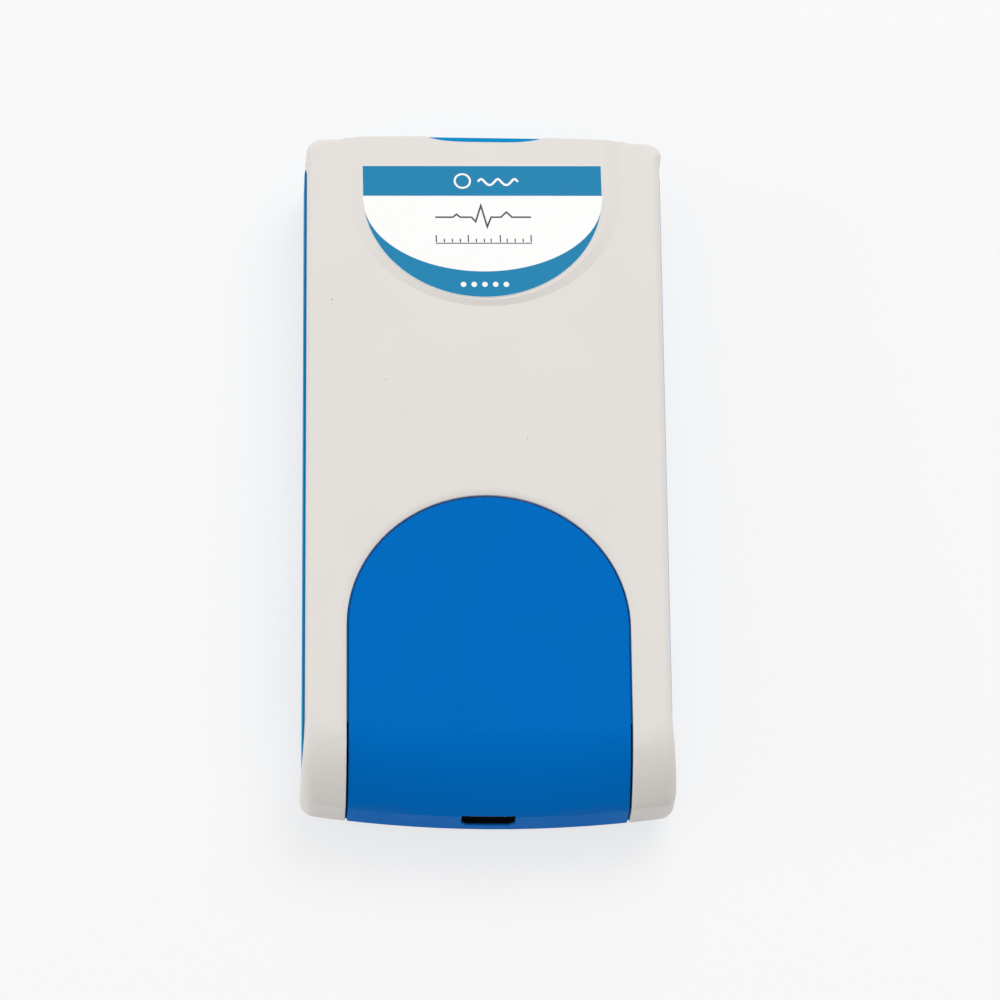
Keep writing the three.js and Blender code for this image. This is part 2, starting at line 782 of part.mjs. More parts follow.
function makeFoot({ x, y }) {
  return post(x, y, footRadius, 0, base + footPocketDepth);
}

function makeSocketShell() {
  const outer = socketShape(socketWidth, socketHeight, boardUpper, socketTaper);
  const mouth = socketShape(socketWidth - socketSkin * 2, socketHeight - socketSkin * 2,
    boardUpper + socketSkin, socketTaper);
  return cut(
    carriedAlongY(outer, socketFront, socketFront + socketLength),
    carriedAlongY(mouth, socketFront - cutOverrun, socketFront + socketLength - socketSkin),
  );
}

// Plastic blade inside the socket, standing on a block at its back.
function makeSocketBlade() {
  const back = socketFront + socketLength - socketSkin - partGap / 2;
  const low = boardUpper + socketSkin + partGap / 2;
  const high = boardUpper + socketHeight - socketSkin - partGap / 2;
  const middle = boardUpper + socketHeight / 2;
  const half = bladeWidth / 2;
  return join(
    block(-half, half, back - bladeRoot, back, low, high),
    block(-half, half, socketFront + bladeSetback, back - joinOverlap, middle, middle + bladeThickness),
  );
}

function makeJackHousing() {
  const half = jackWidth / 2;
  return cut(
    block(-half, half, jackRear, jackFront, boardUpper, boardUpper + jackHeight),
    bar(0, jackAxisHeight, jackBore, jackFront - jackBoreDepth, jackFront + cutOverrun),
  );
}

function makeJackSleeve() {
  return cut(
    bar(0, jackAxisHeight, jackSleeveRadius, jackFront, bezelFace - jackSleeveSetback),
    bar(0, jackAxisHeight, jackBore, jackFront - cutOverrun, bezelFace + cutOverrun),
  );
}

function makeShieldCan() {
  const halfX = canWidth / 2;
  const halfY = canLength / 2;
  return cut(
    block(canX - halfX, canX + halfX, canY - halfY, canY + halfY, boardUpper, boardUpper + canHeight),
    block(canX - halfX + canSkin, canX + halfX - canSkin, canY - halfY + canSkin, canY + halfY - canSkin,
      boardUpper - cutOverrun, boardUpper + canHeight - canSkin),
  );
}

function makeBoardBlock(x, y, { width, length, height }) {
  return block(x - width / 2, x + width / 2, y - length / 2, y + length / 2, boardUpper, boardUpper + height);
}

// Crystal can: an upright plate with round ends.
function makeCrystal() {
  const half = crystalWidth / 2;
  const straight = crystalLength / 2 - half;
  const shape = new THREE.Shape();
  shape.moveTo(crystalX + half, crystalY - straight);
  shape.lineTo(crystalX + half, crystalY + straight);
  shape.absarc(crystalX, crystalY + straight, half, 0, Math.PI, false);
  shape.lineTo(crystalX - half, crystalY - straight);
  shape.absarc(crystalX, crystalY - straight, half, Math.PI, 2 * Math.PI, false);
  return raised(shape, boardUpper, boardUpper + crystalHeight, cornerSteps);
}

function makeRoundCapacitor() {
  return join(
    block(capacitorX - capacitorRadius, capacitorX + capacitorRadius, capacitorY - capacitorRadius,
      capacitorY + capacitorRadius, boardUpper, boardUpper + capacitorFoot),
    post(capacitorX, capacitorY, capacitorRadius, boardUpper + capacitorFoot - joinOverlap,
      boardUpper + capacitorHeight),
  );
}

function makeProgrammingPins() {
  const length = pinPitch * pinCount;
  const half = pinPitch / 2;
  const strip = block(pinRowX - half, pinRowX + half, pinRowY - length / 2, pinRowY + length / 2,
    boardUpper, boardUpper + pinBase);
  const pins = Array.from({ length: pinCount }, (_, i) => {
    const y = pinRowY + (i - (pinCount - 1) / 2) * pinPitch;
    const reach = pinWidth / 2;
    return block(pinRowX - reach, pinRowX + reach, y - reach, y + reach,
      boardUpper + pinBase - joinOverlap, boardUpper + pinHeight);
  });
  return join(strip, ...pins);
}

const finishes = {
  shellWhite: { color: 0xe4dfda, roughness: 0.42, metalness: 0 },
  shellBlue: { color: 0x006ac0, roughness: 0.4, metalness: 0 },
  labelPaper: { color: 0xf6f6f4, roughness: 0.35, metalness: 0 },
  rubber: { color: 0x2b2c2f, roughness: 0.85, metalness: 0 },
  steel: { color: 0xb9bcc0, roughness: 0.32, metalness: 1 },
  tin: { color: 0xc9cccf, roughness: 0.28, metalness: 1 },
  blackPlastic: { color: 0x18191b, roughness: 0.5, metalness: 0 },
  boardGreen: { color: 0x0f5a3a, roughness: 0.45, metalness: 0 },
};

const sensor = new THREE.Group();

function addPiece(name, piece, finish) {
  const mesh = new THREE.Mesh(toGeometry(piece), new THREE.MeshStandardMaterial(finish));
  mesh.name = name;
  sensor.add(mesh);
}

addPiece('upper_shell', makeUpperShell(), finishes.shellWhite);
addPiece('lower_shell', makeLowerShell(), finishes.shellBlue);
addPiece('front_cover', makeFrontCover(), finishes.shellBlue);
addPiece('rear_bezel', makeRearBezel(), finishes.shellBlue);
addPiece('label', makeLabel(), finishes.labelPaper);
addPiece('main_board', makeMainBoard(), finishes.boardGreen);
addPiece('usb_socket_shell', makeSocketShell(), finishes.tin);
addPiece('usb_socket_blade', makeSocketBlade(), finishes.blackPlastic);
addPiece('jack_housing', makeJackHousing(), finishes.blackPlastic);
addPiece('jack_sleeve', makeJackSleeve(), finishes.tin);
addPiece('shield_can', makeShieldCan(), finishes.tin);
addPiece('crystal', makeCrystal(), finishes.tin);
addPiece('round_capacitor', makeRoundCapacitor(), finishes.tin);
addPiece('programming_pins', makeProgrammingPins(), finishes.blackPlastic);
function addChip(name, x, y, chip) {
  addPiece(name, makeBoardBlock(x, y, chip), { color: chip.colour, roughness: 0.5, metalness: 0 });
}

for (const [name, chip] of Object.entries(boardBlocks)) {
  addChip(name, boardHalfWidth * chip.sideShare, boardNear + chip.fromNear, chip);
}
addChip('signal_converter_chip', boardHalfWidth * converterChip.sideShare, canY + converterChip.fromCan,
  converterChip);
addChip('input_amplifier', canX, canY, amplifierChip);
for (const place of caseScrews) {
  const headFace = base + screwSinkHeight - screwHeadHeight;
  addPiece(place.name, makeScrew(place, headFace, screwTip), finishes.steel);
}
for (const place of boardScrews) {
  addPiece(place.name, makeScrew(place, boardUpper + screwHeadHeight, base + boardScrewEnd), finishes.steel);
}
for (const place of feet) {
  addPiece(place.name, makeFoot(place), finishes.rubber);
}

export default sensor;
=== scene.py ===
"""Finishes and fine pieces of a heart-signal sensor box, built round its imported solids.

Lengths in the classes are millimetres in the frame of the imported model: +Z is up, +Y runs from the USB end to
the electrode jack and +X to the right, with the origin under the middle of the case, where its feet stand.
Every mesh becomes metres when its piece is placed.
"""

import logging
import math
from collections.abc import Iterable, Sequence
from dataclasses import dataclass
from enum import Enum

import bmesh
import bpy
from mathutils import Matrix, Vector


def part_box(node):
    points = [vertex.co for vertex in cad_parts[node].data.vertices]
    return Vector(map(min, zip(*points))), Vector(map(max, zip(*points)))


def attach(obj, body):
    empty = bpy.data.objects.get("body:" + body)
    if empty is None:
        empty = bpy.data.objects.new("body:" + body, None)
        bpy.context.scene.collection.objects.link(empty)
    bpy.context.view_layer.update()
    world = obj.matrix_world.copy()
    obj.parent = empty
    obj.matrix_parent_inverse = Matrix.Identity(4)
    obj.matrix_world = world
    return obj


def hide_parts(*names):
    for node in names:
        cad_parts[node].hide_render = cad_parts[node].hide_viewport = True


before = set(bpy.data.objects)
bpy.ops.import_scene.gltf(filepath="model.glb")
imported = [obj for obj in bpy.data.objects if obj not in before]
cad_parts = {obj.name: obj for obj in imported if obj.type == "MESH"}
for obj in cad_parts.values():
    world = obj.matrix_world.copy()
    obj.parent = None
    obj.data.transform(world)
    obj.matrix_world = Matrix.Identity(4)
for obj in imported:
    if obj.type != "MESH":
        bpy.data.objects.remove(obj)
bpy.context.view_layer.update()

MILLIMETRE = 0.001

# Faces that meet at more than this angle keep a sharp edge between them, in degrees.
SHARP_ANGLE = 38.0
# Only edges above this angle are rims of a plate, in degrees.
RIM_ANGLE = 60.0
# Packed points closer than this become one, in millimetres, and faces that meet at less than this angle,
# in degrees.
SAME_POINT = 0.02
SAME_FACE_ANGLE = 0.5
# Points closer than this at the seam of a turned shape become one, in millimetres.
SEAM_POINT = 0.001
# Height and rounding of the solder pads, in millimetres.
PAD_HEIGHT = 0.05
PAD_EDGE = 0.015
# Facets round a small moulded dot.
DOT_SIDES = 20

CORNERS = ("near_left", "near_right", "far_left", "far_right")

Colour = tuple[float, float, float, float]
Screen = tuple[int, int, int]
Flat = tuple[float, float]
Point = tuple[float, float, float]
Shape = bmesh.types.BMesh
Socket = bpy.types.NodeSocket

log = logging.getLogger("sensor")


def screen_colour(red: float, green: float, blue: float) -> Colour:
    """Turn a screen colour into the linear colour that a shader takes.

    Args:
        red: Red, from 0 to 255.
        green: Green, from 0 to 255.
        blue: Blue, from 0 to 255.

    Returns:
        The linear colour, opaque.
    """
    shares = [value / 255 for value in (red, green, blue)]
    # The two stretches of the standard curve between screen values and light.
    linear = [s / 12.92 if s <= 0.04045 else ((s + 0.055) / 1.055) ** 2.4 for s in shares]
    return (*linear, 1.0)


def shaded(tone: Colour, factor: float) -> Colour:
    """Return a colour made lighter or darker by a factor."""
    return (*(min(channel * factor, 1.0) for channel in tone[:3]), 1.0)


class Body(Enum):
    """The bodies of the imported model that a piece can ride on."""

    CASE = "case"
    COVER = "cover"


class Pattern(Enum):
    """How the fine relief of a finish runs."""

    GRAIN = (1.0, 1.0, 1.0)
    BRUSHED_ALONG_X = (0.06, 1.0, 1.0)
    BRUSHED_ALONG_Y = (1.0, 0.06, 1.0)


class Surface:
    """A material in the making, with its node tree, its shader and the coordinates that patterns read."""

    def __init__(self, name: str) -> None:
        """Start a material with a bare shader.

        Args:
            name: Name of the material.
        """
        self.material = bpy.data.materials.new(name)
        self.material.use_nodes = True
        self.tree = self.material.node_tree
        self.shader = self.tree.nodes["Principled BSDF"]
        self.place = self.node("ShaderNodeTexCoord").outputs["Object"]

    def node(self, kind: str, inputs: dict | None = None, **settings: object) -> bpy.types.Node:
        """Add a node.

        Args:
            kind: Type of the node.
            inputs: Values or sockets for its inputs, by name or number.
            **settings: Values for the node's own settings.

        Returns:
            The new node.
        """
        made = self.tree.nodes.new(kind)
        for name, value in settings.items():
            setattr(made, name, value)
        for name, value in (inputs or {}).items():
            self.feed(made.inputs[name], value)
        return made

    def feed(self, socket: Socket, value: object) -> None:
        """Link a socket to an input, or set the input's own value.

        Args:
            socket: The input.
            value: A socket to link, or a plain value.
        """
        if isinstance(value, Socket):
            self.tree.links.new(value, socket)
        else:
            socket.default_value = value

    def noise(self, size: float, detail: float, pattern: Pattern = Pattern.GRAIN) -> Socket:
        """Add noise on object coordinates.

        Args:
            size: Size of its features in millimetres.
            detail: Octaves of finer noise.
            pattern: How the noise is drawn out.

        Returns:
            The noise, from 0 to 1.
        """
        spread = self.node("ShaderNodeMapping", {"Vector": self.place, "Scale": pattern.value})
        scale = 1 / (size * MILLIMETRE)
        inputs = {"Vector": spread.outputs[0], "Scale": scale, "Detail": detail}
        return self.node("ShaderNodeTexNoise", inputs).outputs[0]

    def ranged(self, factor: Socket, low: float, high: float) -> Socket:
        """Spread the middle of a noise over a range of values.

        Args:
            factor: The noise, whose values from 0.3 to 0.7 are used.
            low: Value at 0.3.
            high: Value at 0.7.

        Returns:
            The value.
        """
        inputs = {"Value": factor, 1: 0.3, 2: 0.7, 3: low, 4: high}
        return self.node("ShaderNodeMapRange", inputs).outputs[0]

    def mixed(self, factor: object, first: object, second: object) -> Socket:
        """Mix two colours.

        Args:
            factor: Share of the second colour.
            first: First colour.
            second: Second colour.

        Returns:
            The mixed colour.
        """
        made = self.node("ShaderNodeMix", data_type="RGBA")
        for index, value in ((0, factor), (6, first), (7, second)):
            self.feed(made.inputs[index], value)
        return made.outputs[2]

    def bumped(self, height: Socket, relief: float, strength: float) -> None:
        """Let a noise raise the surface.

        Args:
            height: The noise.
            relief: Height of the relief in millimetres.
            strength: Strength of the relief.
        """
        inputs = {"Height": height, "Distance": relief * MILLIMETRE, "Strength": strength}
        self.feed(self.shader.inputs["Normal"], self.node("ShaderNodeBump", inputs).outputs[0])


@dataclass(frozen=True)
class Finish:
    """A finish with soft colour clouds, fine relief and uneven gloss.

    Attributes:
        name: Name of the material.
        tone: Its colour on a screen.
        roughness: Middle roughness of the surface.
        specular: Specular level of the surface.
        metallic: 1 for bare metal.
        tint: Colour of the gloss, on a screen.
        grain: Size of the fine relief in millimetres.
        relief: Height of the fine relief in millimetres.
        strength: Strength of the fine relief.
        cloud: Size of the colour clouds in millimetres.
        mottle: Share by which the clouds lighten and darken the colour.
        unevenness: How far the roughness strays from its middle.
        speck: Colour of the sparse specks on a screen, if there are any.
        speck_size: Size of the cells that may hold a speck, in millimetres.
        speck_share: Radius of a speck as a share of its cell.
        pattern: How the fine relief runs.
    """

    name: str
    tone: Screen
    roughness: float = 0.5
    specular: float = 0.3
    metallic: float = 0.0
    tint: Screen = (255, 255, 255)
    grain: float = 0.25
    relief: float = 0.01
    strength: float = 0.35
    cloud: float = 14.0
    mottle: float = 0.02
    unevenness: float = 0.04
    speck: Screen | None = None
    speck_size: float = 4.0
    speck_share: float = 0.03
    pattern: Pattern = Pattern.GRAIN

    def make(self) -> bpy.types.Material:
        """Build the material."""
        surface = Surface(self.name)
        shader = surface.shader.inputs
        fine = surface.noise(self.grain, detail=3.0, pattern=self.pattern)
        clouds = surface.ranged(surface.noise(self.cloud, detail=1.0), low=0.0, high=1.0)
        plain = screen_colour(*self.tone)
        tone = surface.mixed(clouds, shaded(plain, 1 - self.mottle), shaded(plain, 1 + self.mottle))
        if self.speck:
            tone = self.specked(surface, tone)
        surface.feed(shader["Base Color"], tone)
        low, high = self.roughness - self.unevenness, self.roughness + self.unevenness
        surface.feed(shader["Roughness"], surface.ranged(fine, low, high))
        shader["Metallic"].default_value = self.metallic
        shader["Specular IOR Level"].default_value = self.specular
        shader["Specular Tint"].default_value = screen_colour(*self.tint)
        surface.bumped(fine, self.relief, self.strength)
        return surface.material

    def specked(self, surface: Surface, tone: Socket) -> Socket:
        """Lay sparse specks over a colour.

        Args:
            surface: The material in the making.
            tone: Its colour so far.

        Returns:
            The colour with the specks on it.
        """
        inputs = {"Vector": surface.place, "Scale": 1 / (self.speck_size * MILLIMETRE)}
        cells = surface.node("ShaderNodeTexVoronoi", inputs)
        inputs = {0: cells.outputs["Distance"], 1: self.speck_share}
        near = surface.node("ShaderNodeMath", inputs, operation="LESS_THAN")
        return surface.mixed(near.outputs[0], tone, screen_colour(*self.speck))


WHITE_SHELL = Finish(
    "white_shell_plastic", (231, 226, 221), roughness=0.52, mottle=0.008, speck=(168, 158, 150),
    speck_size=6.0, speck_share=0.022,
)
BLUE_COVER = Finish(
    "blue_cover_plastic", (0, 108, 195), roughness=0.56, specular=0.18, mottle=0.015, tint=(0, 190, 255),
)
BLUE_SHELL = Finish("blue_shell_plastic", (0, 140, 200), roughness=0.52, tint=(60, 190, 255))
FILM_WHITE = Finish(
    "film_white", (254, 254, 253), roughness=0.4, specular=0.35, grain=0.5, relief=0.004, mottle=0.003,
)
FILM_BLUE = Finish(
    "film_blue_ink", (18, 133, 180), roughness=0.4, specular=0.12, grain=0.4, relief=0.004, mottle=0.012,
)
FILM_GREY = Finish("film_grey_ink", (64, 64, 68), roughness=0.36, grain=0.4, relief=0.003)
SOLDER_MASK = Finish(
    "green_solder_mask", (18, 104, 66), roughness=0.32, specular=0.5, grain=0.6, relief=0.02, cloud=9.0,
    mottle=0.12,
)
MASKED_COPPER = Finish("masked_copper", (44, 140, 84), roughness=0.3, specular=0.5, grain=0.5, mottle=0.06)
LAMINATE = Finish(
    "glass_laminate_edge", (170, 158, 104), roughness=0.7, grain=0.2, relief=0.05, cloud=1.5, mottle=0.15,
    pattern=Pattern.BRUSHED_ALONG_Y,
)
TIN = Finish(
    "bright_tin", (208, 210, 212), roughness=0.3, metallic=1.0, grain=0.5, relief=0.012, cloud=2.0,
    mottle=0.06, unevenness=0.08,
)
BRUSHED_TIN = Finish(
    "brushed_tin_plate", (200, 202, 205), roughness=0.34, metallic=1.0, grain=0.3, relief=0.008, cloud=5.0,
    mottle=0.05, unevenness=0.07, pattern=Pattern.BRUSHED_ALONG_X,
)
GOLD = Finish(
    "gold_flash", (226, 190, 110), roughness=0.28, metallic=1.0, grain=0.4, relief=0.006, mottle=0.05,
)
ZINC = Finish(
    "zinc_plate", (188, 190, 196), roughness=0.33, metallic=1.0, cloud=1.2, mottle=0.08, unevenness=0.08,
)
ALUMINIUM = Finish(
    "drawn_aluminium", (214, 216, 218), roughness=0.3, metallic=1.0, grain=0.35, relief=0.008, cloud=2.5,
    mottle=0.04, pattern=Pattern.BRUSHED_ALONG_X,
)
BLACK_PLASTIC = Finish("black_moulded_plastic", (30, 30, 32), grain=0.18, relief=0.012)
# Near-black matt colour of the plug opening's lining: painted shade that stands for the dark depth of the
# opening.
PAINTED_SHADE_BLACK = Finish("painted_shade_lining", (9, 9, 10), roughness=0.85, specular=0.08, grain=0.18)
CHIP_RESIN = Finish(
    "chip_resin_black", (38, 38, 41), roughness=0.62, grain=0.12, relief=0.02, cloud=3.0, mottle=0.1,
)
CHIP_MARK = Finish("chip_dimple", (70, 70, 74), roughness=0.4, grain=0.2, relief=0.004)
FERRITE = Finish("ferrite_grey", (72, 73, 76), roughness=0.7, grain=0.15, relief=0.03, cloud=1.5, mottle=0.14)
COPPER_WIRE = Finish("enamelled_copper", (196, 112, 62), roughness=0.28, metallic=1.0, grain=0.3, mottle=0.08)
TANTALUM = Finish("tantalum_resin_ochre", (206, 152, 62), grain=0.15, relief=0.014, mottle=0.05)
TANTALUM_BAR = Finish("tantalum_polarity_bar", (122, 66, 28), grain=0.2, relief=0.006)
CERAMIC = Finish("ceramic_tan", (172, 138, 98), roughness=0.55, grain=0.15, relief=0.012, mottle=0.08)
RUBBER = Finish(
    "foot_rubber_black", (52, 52, 54), roughness=0.82, specular=0.25, grain=0.14, relief=0.03, cloud=4.0,
    mottle=0.12, speck=(96, 96, 98), speck_size=0.5, speck_share=0.06,
)


class FinishCabinet:
    """Makes each finish's material once and hands it out."""

    def __init__(self) -> None:
        """Start with no materials made."""
        self.made: dict[str, bpy.types.Material] = {}

    def get(self, finish: Finish) -> bpy.types.Material:
        """Return the material of a finish, made on its first use."""
        if finish.name not in self.made:
            self.made[finish.name] = finish.make()
        return self.made[finish.name]


cabinet = FinishCabinet()


def at(x: float, y: float, z: float, turn: float = 0.0) -> Matrix:
    """Return the matrix that turns a shape about Z, in degrees, and moves it to a place."""
    return Matrix.Translation((x, y, z)) @ Matrix.Rotation(math.radians(turn), 4, "Z")


@dataclass(frozen=True)
class Extent:
    """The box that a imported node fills, in millimetres."""

    low: Vector
    high: Vector

    @classmethod
    def of(cls, node: str) -> "Extent":
        """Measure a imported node."""
        low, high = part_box(node)
        return cls(low / MILLIMETRE, high / MILLIMETRE)

    @property
    def size(self) -> Vector:
        """Width, length and height."""
        return self.high - self.low

    @property
    def centre(self) -> Vector:
        """Middle of the box."""
        return (self.low + self.high) / 2

    def seat(self, level: float, turn: float = 0.0) -> Matrix:
        """Return the matrix that turns a shape about Z and moves it to the box's middle, at a level."""
        return at(self.centre.x, self.centre.y, level, turn)


def spaced(count: int, pitch: float) -> list[float]:
    """Return the places of a row of things on both sides of its middle."""
    return [(number - (count - 1) / 2) * pitch for number in range(count)]


def round_edges(work: Shape, width: float, segments: int = 2, least: float = 40.0,
                clamp: bool = True) -> None:
    """Round the sharp outer edges of a shape.

    Args:
        work: The shape.
        width: Width of the rounding.
        segments: Facets across the rounding.
        least: Least angle between the faces of a sharp edge, in degrees.
        clamp: Whether the rounding stays short of its neighbours.
    """
    sharp = [
        edge for edge in work.edges
        if len(edge.link_faces) == 2 and edge.is_convex and edge.calc_face_angle(0.0) > math.radians(least)
    ]
    bmesh.ops.bevel(
        work, geom=sharp, offset=width, segments=segments, profile=0.5, affect="EDGES", material=-1,
        clamp_overlap=clamp,
    )


def block_shape(width: float, length: float, height: float, edge: float = 0.0) -> Shape:
    """Make a block that stands on the origin's plane, centred on it.

    Args:
        width: Size along X.
        length: Size along Y.
        height: Size along Z.
        edge: Width of the rounding of its edges.

    Returns:
        The shape.
    """
    work = bmesh.new()
    matrix = Matrix.Translation((0, 0, height / 2)) @ Matrix.Diagonal((width, length, height, 1))
    bmesh.ops.create_cube(work, size=1, matrix=matrix)
    if edge:
        round_edges(work, edge)
    return work


def pad_shape(length: float, width: float) -> Shape:
    """Make a thin solder pad."""
    return block_shape(length, width, PAD_HEIGHT, PAD_EDGE)


def rod_shape(radius: float, height: float, sides: int = DOT_SIDES) -> Shape:
    """Make a round rod that stands on the origin's plane.

    Args:
        radius: Its radius.
        height: Its height.
        sides: Number of facets round it.

    Returns:
        The shape.
    """
    work = bmesh.new()
    bmesh.ops.create_cone(
        work, cap_ends=True, segments=sides, radius1=radius, radius2=radius, depth=height,
        matrix=Matrix.Translation((0, 0, height / 2)),
    )
    return work


def draw_out(work: Shape, grown: dict, way: Point) -> None:
    """Move the points that an extrusion has made, and turn all faces outwards."""
    points = [item for item in grown["geom"] if isinstance(item, bmesh.types.BMVert)]
    bmesh.ops.translate(work, verts=points, vec=way)
    bmesh.ops.recalc_face_normals(work, faces=work.faces)


def plate_shape(outline: Sequence[Flat], thickness: float, edge: float = 0.0) -> Shape:
    """Raise a flat outline into a plate.

    Args:
        outline: Corners of the outline, in order.
        thickness: Thickness of the plate.
        edge: Width of the rounding of its rims.

    Returns:
        The shape.
    """
    work = bmesh.new()
    face = work.faces.new([work.verts.new((x, y, 0)) for x, y in outline])
    draw_out(work, bmesh.ops.extrude_face_region(work, geom=[face]), (0, 0, thickness))
    if edge:
        round_edges(work, edge, least=RIM_ANGLE)
    return work


def swept_shape(path: Sequence[Point], along: Point, thickness: float) -> Shape:
    """Sweep a line sideways into a ribbon and give the ribbon a thickness.

    Args:
        path: Points of the line.
        along: How far and which way the line is swept.
        thickness: Thickness of the ribbon.

    Returns:
        The shape.
    """
    work = bmesh.new()
    points = [work.verts.new(point) for point in path]
    edges = [work.edges.new(pair) for pair in zip(points, points[1:])]
    draw_out(work, bmesh.ops.extrude_edge_only(work, edges=edges), along)
    bmesh.ops.solidify(work, geom=work.faces[:], thickness=thickness)
    bmesh.ops.recalc_face_normals(work, faces=work.faces)
    return work


def bridged_shape(first: Sequence[Flat], second: Sequence[Flat], thickness: float,
                  closed: bool = False) -> Shape:
    """Raise the strip between two lines with as many points each.

    Args:
        first: Points of the first line.
        second: Points of the second line.
        thickness: Thickness of the strip, upwards, or downwards where it is negative.
        closed: Whether the lines are closed, so that the strip is a ring.

    Returns:
        The shape.
    """
    work = bmesh.new()
    lines = [[work.verts.new((x, y, 0)) for x, y in line] for line in (first, second)]
    ends = [[*line[1:], line[0]] if closed else line[1:] for line in lines]
    edges = [work.edges.new(pair) for line, end in zip(lines, ends) for pair in zip(line, end)]
    bmesh.ops.bridge_loops(work, edges=edges)
    draw_out(work, bmesh.ops.extrude_face_region(work, geom=work.faces[:]), (0, 0, thickness))
    return work


def turned_shape(profile: Sequence[Flat], steps: int = 40) -> Shape:
    """Turn a profile round the Z axis.

    Args:
        profile: Radius and height of each point, from the axis round to the axis.
        steps: Number of facets round the axis.

    Returns:
        The shape.
    """
    work = bmesh.new()
    points = [work.verts.new((radius, 0, height)) for radius, height in profile]
    edges = [work.edges.new(pair) for pair in zip(points, points[1:])]
    bmesh.ops.spin(
        work, geom=[*points, *edges], cent=(0, 0, 0), axis=(0, 0, 1), angle=math.tau, steps=steps,
        use_merge=True,
    )
    bmesh.ops.remove_doubles(work, verts=work.verts, dist=SEAM_POINT)
    bmesh.ops.recalc_face_normals(work, faces=work.faces)
    return work


def ring_shape(inner: float, outer: float, height: float, steps: int = 40) -> Shape:
    """Make a flat ring that stands on the origin's plane."""
    return turned_shape([(inner, 0.0), (outer, 0.0), (outer, height), (inner, height), (inner, 0.0)], steps)


def arc(middle: Flat, radii: Flat, first: float, last: float, steps: int) -> list[Flat]:
    """Return points along part of an ellipse.

    Args:
        middle: Middle of the ellipse.
        radii: Its radii along X and Y.
        first: Angle of the first point, in radians.
        last: Angle of the last point.
        steps: Stretches between the points.

    Returns:
        The points, in order.
    """
    angles = [first + (last - first) * step / steps for step in range(steps + 1)]
    return [(middle[0] + radii[0] * math.cos(a), middle[1] + radii[1] * math.sin(a)) for a in angles]


def rounded_outline(width: float, length: float, radius: float, steps: int) -> list[Flat]:
    """Return the corners of a rectangle with round corners.

    Args:
        width: Size along X.
        length: Size along Y.
        radius: Radius of the corners.
        steps: Facets in each corner.

    Returns:
        The corners, in order.
    """
    corners = []
    for quarter, (across, up) in enumerate(((1, 1), (-1, 1), (-1, -1), (1, -1))):
        middle = (across * (width / 2 - radius), up * (length / 2 - radius))
        first = math.pi / 2 * quarter
        corners += arc(middle, (radius, radius), first, first + math.pi / 2, steps)
    return corners


def refined_shape(node: str, edge: float = 0.0, segments: int = 2) -> Shape:
    """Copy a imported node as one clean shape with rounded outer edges.

    Args:
        node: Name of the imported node.
        edge: Width of the rounding.
        segments: Facets across the rounding.

    Returns:
        The shape, in millimetres.
    """
    work = bmesh.new()
    work.from_mesh(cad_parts[node].data)
    bmesh.ops.scale(work, vec=(1 / MILLIMETRE,) * 3, verts=work.verts)
    bmesh.ops.remove_doubles(work, verts=work.verts, dist=SAME_POINT)
    bmesh.ops.dissolve_limit(
        work, angle_limit=math.radians(SAME_FACE_ANGLE), verts=work.verts, edges=work.edges,
    )
    if edge:
        round_edges(work, edge, segments, clamp=False)
    return work


class Piece:
    """One visible piece in the making, put together from shapes."""

    def __init__(self, name: str, slot: str, body: Body = Body.CASE) -> None:
        """Start an empty piece.

        Args:
            name: Name of the piece.
            slot: The record's material slot, kept on the piece but not used.
            body: The body that it rides on.
        """
        self.name = name
        self.slot = slot
        self.body = body
        self.work = bmesh.new()
        self.finishes: list[Finish] = []

    def add(self, shape: Shape, finish: Finish, matrix: Matrix | None = None) -> None:
        """Add a shape to the piece.

        Args:
            shape: The shape, which is used up.
            finish: Its finish.
            matrix: Where it goes.
        """
        if finish not in self.finishes:
            self.finishes.append(finish)
        for face in shape.faces:
            face.material_index = self.finishes.index(finish)
            face.smooth = True
        if matrix:
            bmesh.ops.transform(shape, matrix=matrix, verts=shape.verts)
        self.merge(shape)

    def merge(self, shape: Shape) -> None:
        """Take over the faces of a shape as they are."""
        scratch = bpy.data.meshes.new("scratch")
        shape.to_mesh(scratch)
        shape.free()
        self.work.from_mesh(scratch)
        bpy.data.meshes.remove(scratch)

    def place(self, *nodes: str, weighted: bool = False) -> None:
        """Finish the piece and let it ride on its body.

        Args:
            *nodes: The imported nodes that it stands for.
            weighted: Whether broad faces keep their own shading next to rounded edges.
        """
        loose = sum(len(edge.link_faces) != 2 for edge in self.work.edges)
        for edge in self.work.edges:
            if edge.calc_face_angle(0.0) > math.radians(SHARP_ANGLE):
                edge.smooth = False
        bmesh.ops.scale(self.work, vec=(MILLIMETRE,) * 3, verts=self.work.verts)
        mesh = bpy.data.meshes.new(self.name)
        self.work.to_mesh(mesh)
        self.work.free()
        for finish in self.finishes:
            mesh.materials.append(cabinet.get(finish))
        made = bpy.data.objects.new(self.name, mesh)
        bpy.context.scene.collection.objects.link(made)
        if weighted:
            modifier = made.modifiers.new("even_shading", "WEIGHTED_NORMAL")
            modifier.keep_sharp = True
        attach(made, self.body.value)
        if nodes:
            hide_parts(*nodes)
        log.info("%s: %d faces, %d open edges", self.name, len(mesh.polygons), loose)


def fitting(name: str, slot: str, node: str, finish: Finish, edge: float) -> None:
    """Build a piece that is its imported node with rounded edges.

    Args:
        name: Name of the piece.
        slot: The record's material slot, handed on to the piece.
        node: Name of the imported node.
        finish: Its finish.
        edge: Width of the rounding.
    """
    piece = Piece(name, slot)
    piece.add(refined_shape(node, edge), finish)
    piece.place(node, weighted=True)


